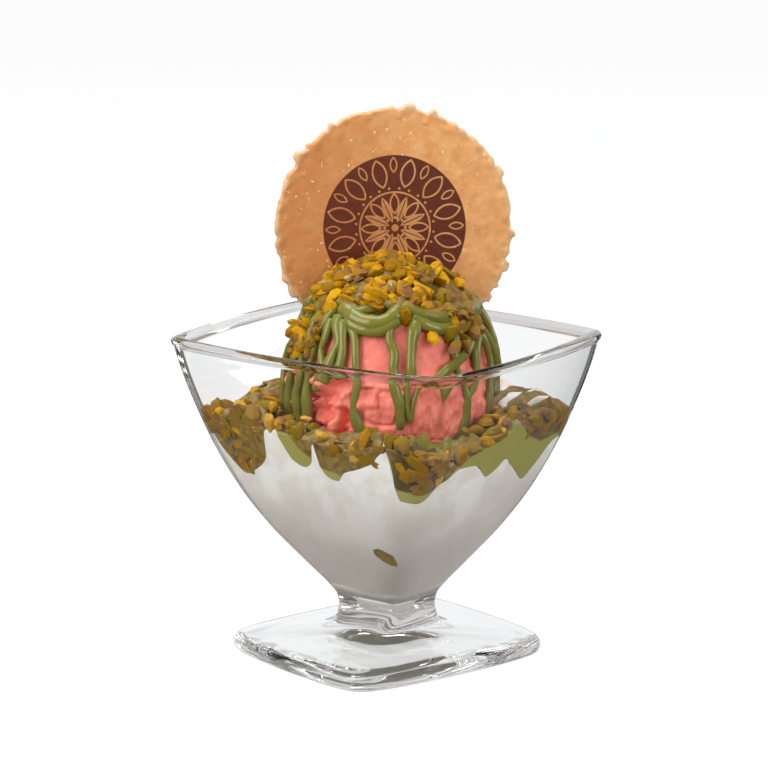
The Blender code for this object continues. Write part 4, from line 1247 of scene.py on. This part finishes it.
class SUNDAE_OT_nuts(bpy.types.Operator):
    """Scatter chopped pistachios over the dome and the cream"""

    bl_idname = "sundae.nuts"
    bl_label = "Chopped pistachios"

    def execute(self, context):
        settings = context.scene.sundae_food
        length = settings.chip_length / MM
        material = nut_material()
        settle(self.on_scoop(settings, length, material), "ice_cream", "scoop")
        settle(self.on_cream(settings, length, material), "cream", "cream")
        return {"FINISHED"}

    def on_scoop(self, settings, length, material):
        """The pile on top, placed in an even spiral, then chips down the sides and a few single ones."""
        rng = np.random.default_rng(11)
        count = settings.cap_chips
        share = (np.arange(count) + 0.5) / count
        out = CAP_REACH * np.sqrt(share)
        turn = np.arange(count) * GOLDEN_ANGLE + rng.normal(0, 0.25, count)
        x, y = out * np.cos(turn), out * np.sin(turn)
        height = 121.0 - 0.5 * out**2 / 28 + rng.uniform(0.2, 2.2, count)
        tone = 0.13 + 0.42 * rng.random(count) ** 1.3
        right = eased(x + 0.2 * y, 6.0, 11.0)
        clear_of_wafer = (y < 12.5 + 0.2 * x) | (y > 18.5 + 0.2 * x)
        keep = (rng.random(count) > 0.62 * right) & clear_of_wafer
        tone = np.where(rng.random(count) < 0.6 * right, rng.uniform(0.55, 1.0, count), tone)
        tone = np.where(rng.random(count) < 0.06, 0.0, tone)
        cap = np.stack([SCOOP_X + x, y, height], axis=-1)[keep]
        left, dark, behind = FLANK_CHIPS
        places = [
            cap,
            scoop_point(rng.uniform(-84, -48, left), rng.uniform(96, 113, left), rng.uniform(0.8, 2.0, left)),
            scoop_point(
                rng.uniform(36, 82, dark), rng.triangular(97, 113, 114, dark), rng.uniform(1.4, 2.6, dark)
            ),
            scoop_point(
                rng.uniform(95, 265, behind), rng.uniform(84, 114, behind), rng.uniform(-0.2, 0.9, behind)
            ),
            scoop_point(*np.array(SINGLE_CHIPS, float).T, 1.6),
        ]
        tones = [
            tone[keep],
            np.where(rng.random(left) < 0.35, rng.uniform(0.7, 1, left), rng.uniform(0.05, 0.5, left)),
            rng.uniform(0.62, 1.0, dark),
            rng.uniform(0.1, 0.9, behind),
            rng.uniform(0.1, 0.4, len(SINGLE_CHIPS)),
        ]
        places, tones = np.vstack(places), np.concatenate(tones)
        lengths = length * rng.uniform(0.9, 1.55, len(places))
        return chips_piece("nuts_on_scoop", places, lengths, tones, rng, material)

    def on_cream(self, settings, length, material):
        """Clusters, rows and one stray chip against the glass, then chips spread over the cream's top."""
        rng = np.random.default_rng(12)
        turns, heights, insets, tones, sizes = [], [], [], [], []

        def lay(turn, height, inset, tone, size):
            turns.append(turn)
            heights.append(height)
            insets.append(inset)
            tones.append(tone)
            sizes.append(size)

        def mixed_tones(count, brown):
            chosen = rng.random(count) < brown
            return np.where(chosen, rng.uniform(0.62, 1.0, count), rng.uniform(0.05, 0.6, count))

        for turn, height, spread, count in WALL_CLUSTERS:
            lay(
                turn + rng.normal(0, spread / 60, count),
                height + rng.normal(0, 0.55 * spread, count),
                rng.uniform(0.4, 2.6, count),
                mixed_tones(count, 0.55),
                rng.uniform(0.95, 1.55, count),
            )
        ring = (np.arange(RING_CHIPS) + rng.uniform(0.1, 0.9, RING_CHIPS)) * 4 / RING_CHIPS
        for row in range(CHIP_ROWS):
            turn = np.mod(ring + rng.normal(0, 0.01, RING_CHIPS), 4)
            level = 57 + 3.5 * row + rng.uniform(0, 3.5, RING_CHIPS)
            low = np.maximum(smooth_between(turn, BED_GREEN_TOP), smooth_between(turn, BED_LOW)) + 0.8
            high = smooth_between(turn, BED_HIGH) + 0.5
            keep = (level > low) & (level < high) & (rng.random(RING_CHIPS) < 0.42)
            count = int(keep.sum())
            inset = rng.uniform(0.2, 1.2, count)
            lay(turn[keep], level[keep], inset, mixed_tones(count, 0.6), rng.uniform(1.1, 1.9, count))
        lay(*(np.array([number]) for number in (*STRAY_CHIP, 0.0, 0.68, 1.9)))
        turns, heights, insets = np.concatenate(turns), np.concatenate(heights), np.concatenate(insets)
        right = (turns > 3.55) | (turns < 0.5)
        at = np.mod(turns[:-1], 4)
        top = np.maximum(smooth_between(at, BED_HIGH), smooth_between(at, BED_LOW) + 1.0)
        heights[:-1] = np.clip(heights[:-1], smooth_between(at, BED_LOW) + 1.2, top + 0.6)
        wall = wall_frame(turns, heights, CHIPS_INSET)
        places = [wall[0] - wall[1] * (insets + 0.5)[:, None]]

        count = settings.cream_chips
        around = np.sort(rng.uniform(0, 4, count))[None]
        share = rng.uniform(0.12, 0.85, count)[None]
        edge = cream_edge_height(around)
        plan = toward_scoop(glass_plan(around, edge, inset=WALL + 1.4), share, SCOOP_REACH)
        present = bed_presence(around)
        keep = (present > 0.5)[0] | (rng.random(count) < 0.25)
        pool = (around > 2.86) & (around < 3.6) & (share > 0.35)
        keep &= ~pool[0] | (rng.random(count) < 0.25)
        thick = np.maximum(smooth_between(around, BED_HIGH) - edge, 0.0)
        lift = np.maximum(bed_lift(thick, share, present), 0.0)
        level = cream_level(around, share, edge) + lift + rng.uniform(0, 1.0, (1, count))
        top = level_ring(plan, level)[keep]
        places.append(top)
        tones.append(mixed_tones(len(top), 0.45))
        sizes.append(rng.uniform(0.8, 1.35, len(top)))
        up = np.tile((0.0, 0.0, 1.0), (len(top), 1))
        wall = (np.vstack([wall[0], FAR * up]), np.vstack([wall[1], up]))
        lengths = length * np.concatenate(sizes)
        tones = np.concatenate(tones)
        darker_side = np.concatenate([right, np.zeros(len(top), bool)]) & (rng.random(len(tones)) < 0.75)
        tones = np.where(darker_side, rng.uniform(0.65, 1.0, len(tones)), tones)
        return chips_piece("nuts_on_cream", np.vstack(places), lengths, tones, rng, material, wall)


class SUNDAE_OT_wafer(bpy.types.Operator):
    """Stand the printed wafer in the back of the scoop"""

    bl_idname = "sundae.wafer"
    bl_label = "Wafer"

    def execute(self, context):
        flat = wafer_skin()
        material = wafer_material(context.scene.sundae_wafer)
        front = (flat[..., 2] > 0.2).astype(float)
        piece = closed_surface("baked_wafer", wafer_in_place(flat), material, {"front": front})
        mesh = piece.data
        points = np.vstack([flat.reshape(-1, 3), flat[0].mean(axis=0), flat[-1].mean(axis=0)])
        corners = np.empty(len(mesh.loops), np.int64)
        mesh.loops.foreach_get("vertex_index", corners)
        layer = mesh.uv_layers.new(name="face")
        layer.data.foreach_set("uv", (points[corners, :2] / FACE_SPAN + 0.5).astype(np.float32).ravel())
        settle(piece, "wafer", "wafer")
        return {"FINISHED"}


# Lamps in metres: place, width and height, share of the key light's power
LAMPS = (
    ("key_light", (-0.95, -0.65, 0.72), (0.8, 0.9), 1.0),
    ("top_light", (-0.15, 0.1, 1.2), (0.9, 0.7), 0.9),
    ("right_fill", (1.0, -0.9, 0.6), (0.5, 0.8), 0.54),
    ("edge_light", (1.1, 0.3, 0.3), (0.4, 0.5), 0.18),
)
LAMP_AIM = (0.0, 0.0, 0.08)

# Camera in metres: what it looks at, and its distance from there over the distance to the glass's front
CAMERA_AIM = (-0.0009, 0.0, 0.0842)
CAMERA_SPAN = 1.194 / 1.2
CAMERA_LENS = 183.8


class SUNDAE_OT_stage(bpy.types.Operator):
    """Set up the floor, the soft lights and the camera"""

    bl_idname = "sundae.stage"
    bl_label = "Stage"

    def execute(self, context):
        settings = context.scene.sundae_stage
        self.floor()
        self.world(context)
        for name, place, size, share in LAMPS:
            self.area(name, place, size, share * settings.key)
        self.camera(context, settings)
        context.scene.view_settings.view_transform = "Standard"
        cycles = context.scene.cycles
        cycles.max_bounces = 24
        cycles.glossy_bounces = 12
        cycles.transmission_bounces = 24
        cycles.transparent_max_bounces = 24
        return {"FINISHED"}

    def floor(self):
        half = 6.0
        low = -0.1 * MM
        corners = [(-half, -half, low), (half, -half, low), (half, half, low), (-half, half, low)]
        mesh = bpy.data.meshes.new("pale_floor")
        mesh.from_pydata(corners, [], [(0, 1, 2, 3)])
        mesh.materials.append(floor_material())
        floor = bpy.data.objects.new("pale_floor", mesh)
        bpy.context.scene.collection.objects.link(floor)

    def world(self, context):
        """A pale studio: even light on the food, white to look at, and for glass and gloss a bright backdrop
        that darkens towards the front."""
        tree = Tree(bpy.data.worlds.new("studio"))
        context.scene.world = tree.owner
        sides = tree.parts(tree.places["Generated"])
        rays = tree.add("ShaderNodeLightPath").outputs

        def graded(axis, *stops):
            spread = tree.add("ShaderNodeMapRange")
            tree.links.new(sides[axis], spread.inputs["Value"])
            spread.inputs["From Min"].default_value = -1.0
            return tree.ramp(spread.outputs[0], *stops)

        ambient = graded("Z", (0.0, (0.2, 0.2, 0.2)), (0.5, (0.26, 0.26, 0.26)), (1.0, (0.42, 0.43, 0.45)))
        seen = graded(
            "Y",
            (0.0, (0.32, 0.3, 0.28)),
            (0.34, (0.42, 0.4, 0.37)),
            (0.5, (0.6, 0.57, 0.54)),
            (0.62, (0.84, 0.85, 0.86)),
            (1.0, (0.96, 0.975, 0.99)),
        )
        above = graded("Z", (0.0, (1.0, 1.0, 1.0)), (0.62, (1.0, 1.0, 1.0)), (0.8, (0.6, 0.57, 0.54)))
        seen = tree.mix(1.0, seen, above, blend_type="MULTIPLY")
        colour = tree.mix(rays["Is Transmission Ray"], ambient, seen)
        colour = tree.mix(rays["Is Glossy Ray"], colour, seen)
        colour = tree.mix(rays["Is Camera Ray"], colour, (1.0, 1.0, 1.0))
        tree.links.new(colour, tree.nodes["Background"].inputs["Color"])

    def area(self, name, place, size, power):
        light = bpy.data.lights.new(name, "AREA")
        light.shape = "RECTANGLE"
        light.size, light.size_y = size
        light.energy = power
        lamp = bpy.data.objects.new(name, light)
        lamp.location = place
        aim = np.array(LAMP_AIM) - np.array(place)
        tilt = math.acos(-aim[2] / np.linalg.norm(aim))
        lamp.rotation_euler = (tilt, 0.0, math.atan2(aim[1], aim[0]) - math.pi / 2)
        bpy.context.scene.collection.objects.link(lamp)

    def camera(self, context, settings):
        rise = math.radians(settings.elevation)
        away = settings.distance * CAMERA_SPAN * np.array((0.0, -math.cos(rise), math.sin(rise)))
        camera_data = bpy.data.cameras.new("photo_camera")
        camera_data.sensor_width = 36.0
        camera_data.lens = CAMERA_LENS
        camera_data.clip_start = 0.05
        camera = bpy.data.objects.new("photo_camera", camera_data)
        camera.location = tuple(np.array(CAMERA_AIM) + away)
        camera.rotation_euler = (math.pi / 2 - rise, 0.0, 0.0)
        context.scene.collection.objects.link(camera)
        context.scene.camera = camera


class SUNDAE_PT_panel(bpy.types.Panel):
    """Steps that build the sundae"""

    bl_label = "Sundae"
    bl_idname = "SUNDAE_PT_panel"
    bl_space_type = "VIEW_3D"
    bl_region_type = "UI"
    bl_category = "Sundae"

    def draw(self, context):
        for group in ("sundae_glass", "sundae_food", "sundae_wafer", "sundae_stage"):
            settings = getattr(context.scene, group)
            box = self.layout.box()
            for key in settings.bl_rna.properties.keys():
                if key not in ("rna_type", "name"):
                    box.prop(settings, key)
        for step in STEPS:
            self.layout.operator(step.bl_idname)


STEPS = (
    SUNDAE_OT_stage,
    SUNDAE_OT_glass,
    SUNDAE_OT_cream,
    SUNDAE_OT_scoop,
    SUNDAE_OT_sauce,
    SUNDAE_OT_nuts,
    SUNDAE_OT_wafer,
)
GROUPS = {
    "sundae_glass": SundaeGlassSettings,
    "sundae_food": SundaeFoodSettings,
    "sundae_wafer": SundaeWaferSettings,
    "sundae_stage": SundaeStageSettings,
}


def register():
    for group in GROUPS.values():
        bpy.utils.register_class(group)
    for step in STEPS:
        bpy.utils.register_class(step)
    bpy.utils.register_class(SUNDAE_PT_panel)
    for name, group in GROUPS.items():
        setattr(bpy.types.Scene, name, PointerProperty(type=group))


def unregister():
    for name in GROUPS:
        delattr(bpy.types.Scene, name)
    bpy.utils.unregister_class(SUNDAE_PT_panel)
    for step in reversed(STEPS):
        bpy.utils.unregister_class(step)
    for group in reversed(list(GROUPS.values())):
        bpy.utils.unregister_class(group)


def main():
    register()
    bpy.ops.sundae.stage()
    bpy.ops.sundae.glass()
    bpy.ops.sundae.cream()
    bpy.ops.sundae.scoop()
    bpy.ops.sundae.sauce()
    bpy.ops.sundae.nuts()
    bpy.ops.sundae.wafer()
    bpy.context.view_layer.update()


if __name__ == "__main__":
    main()
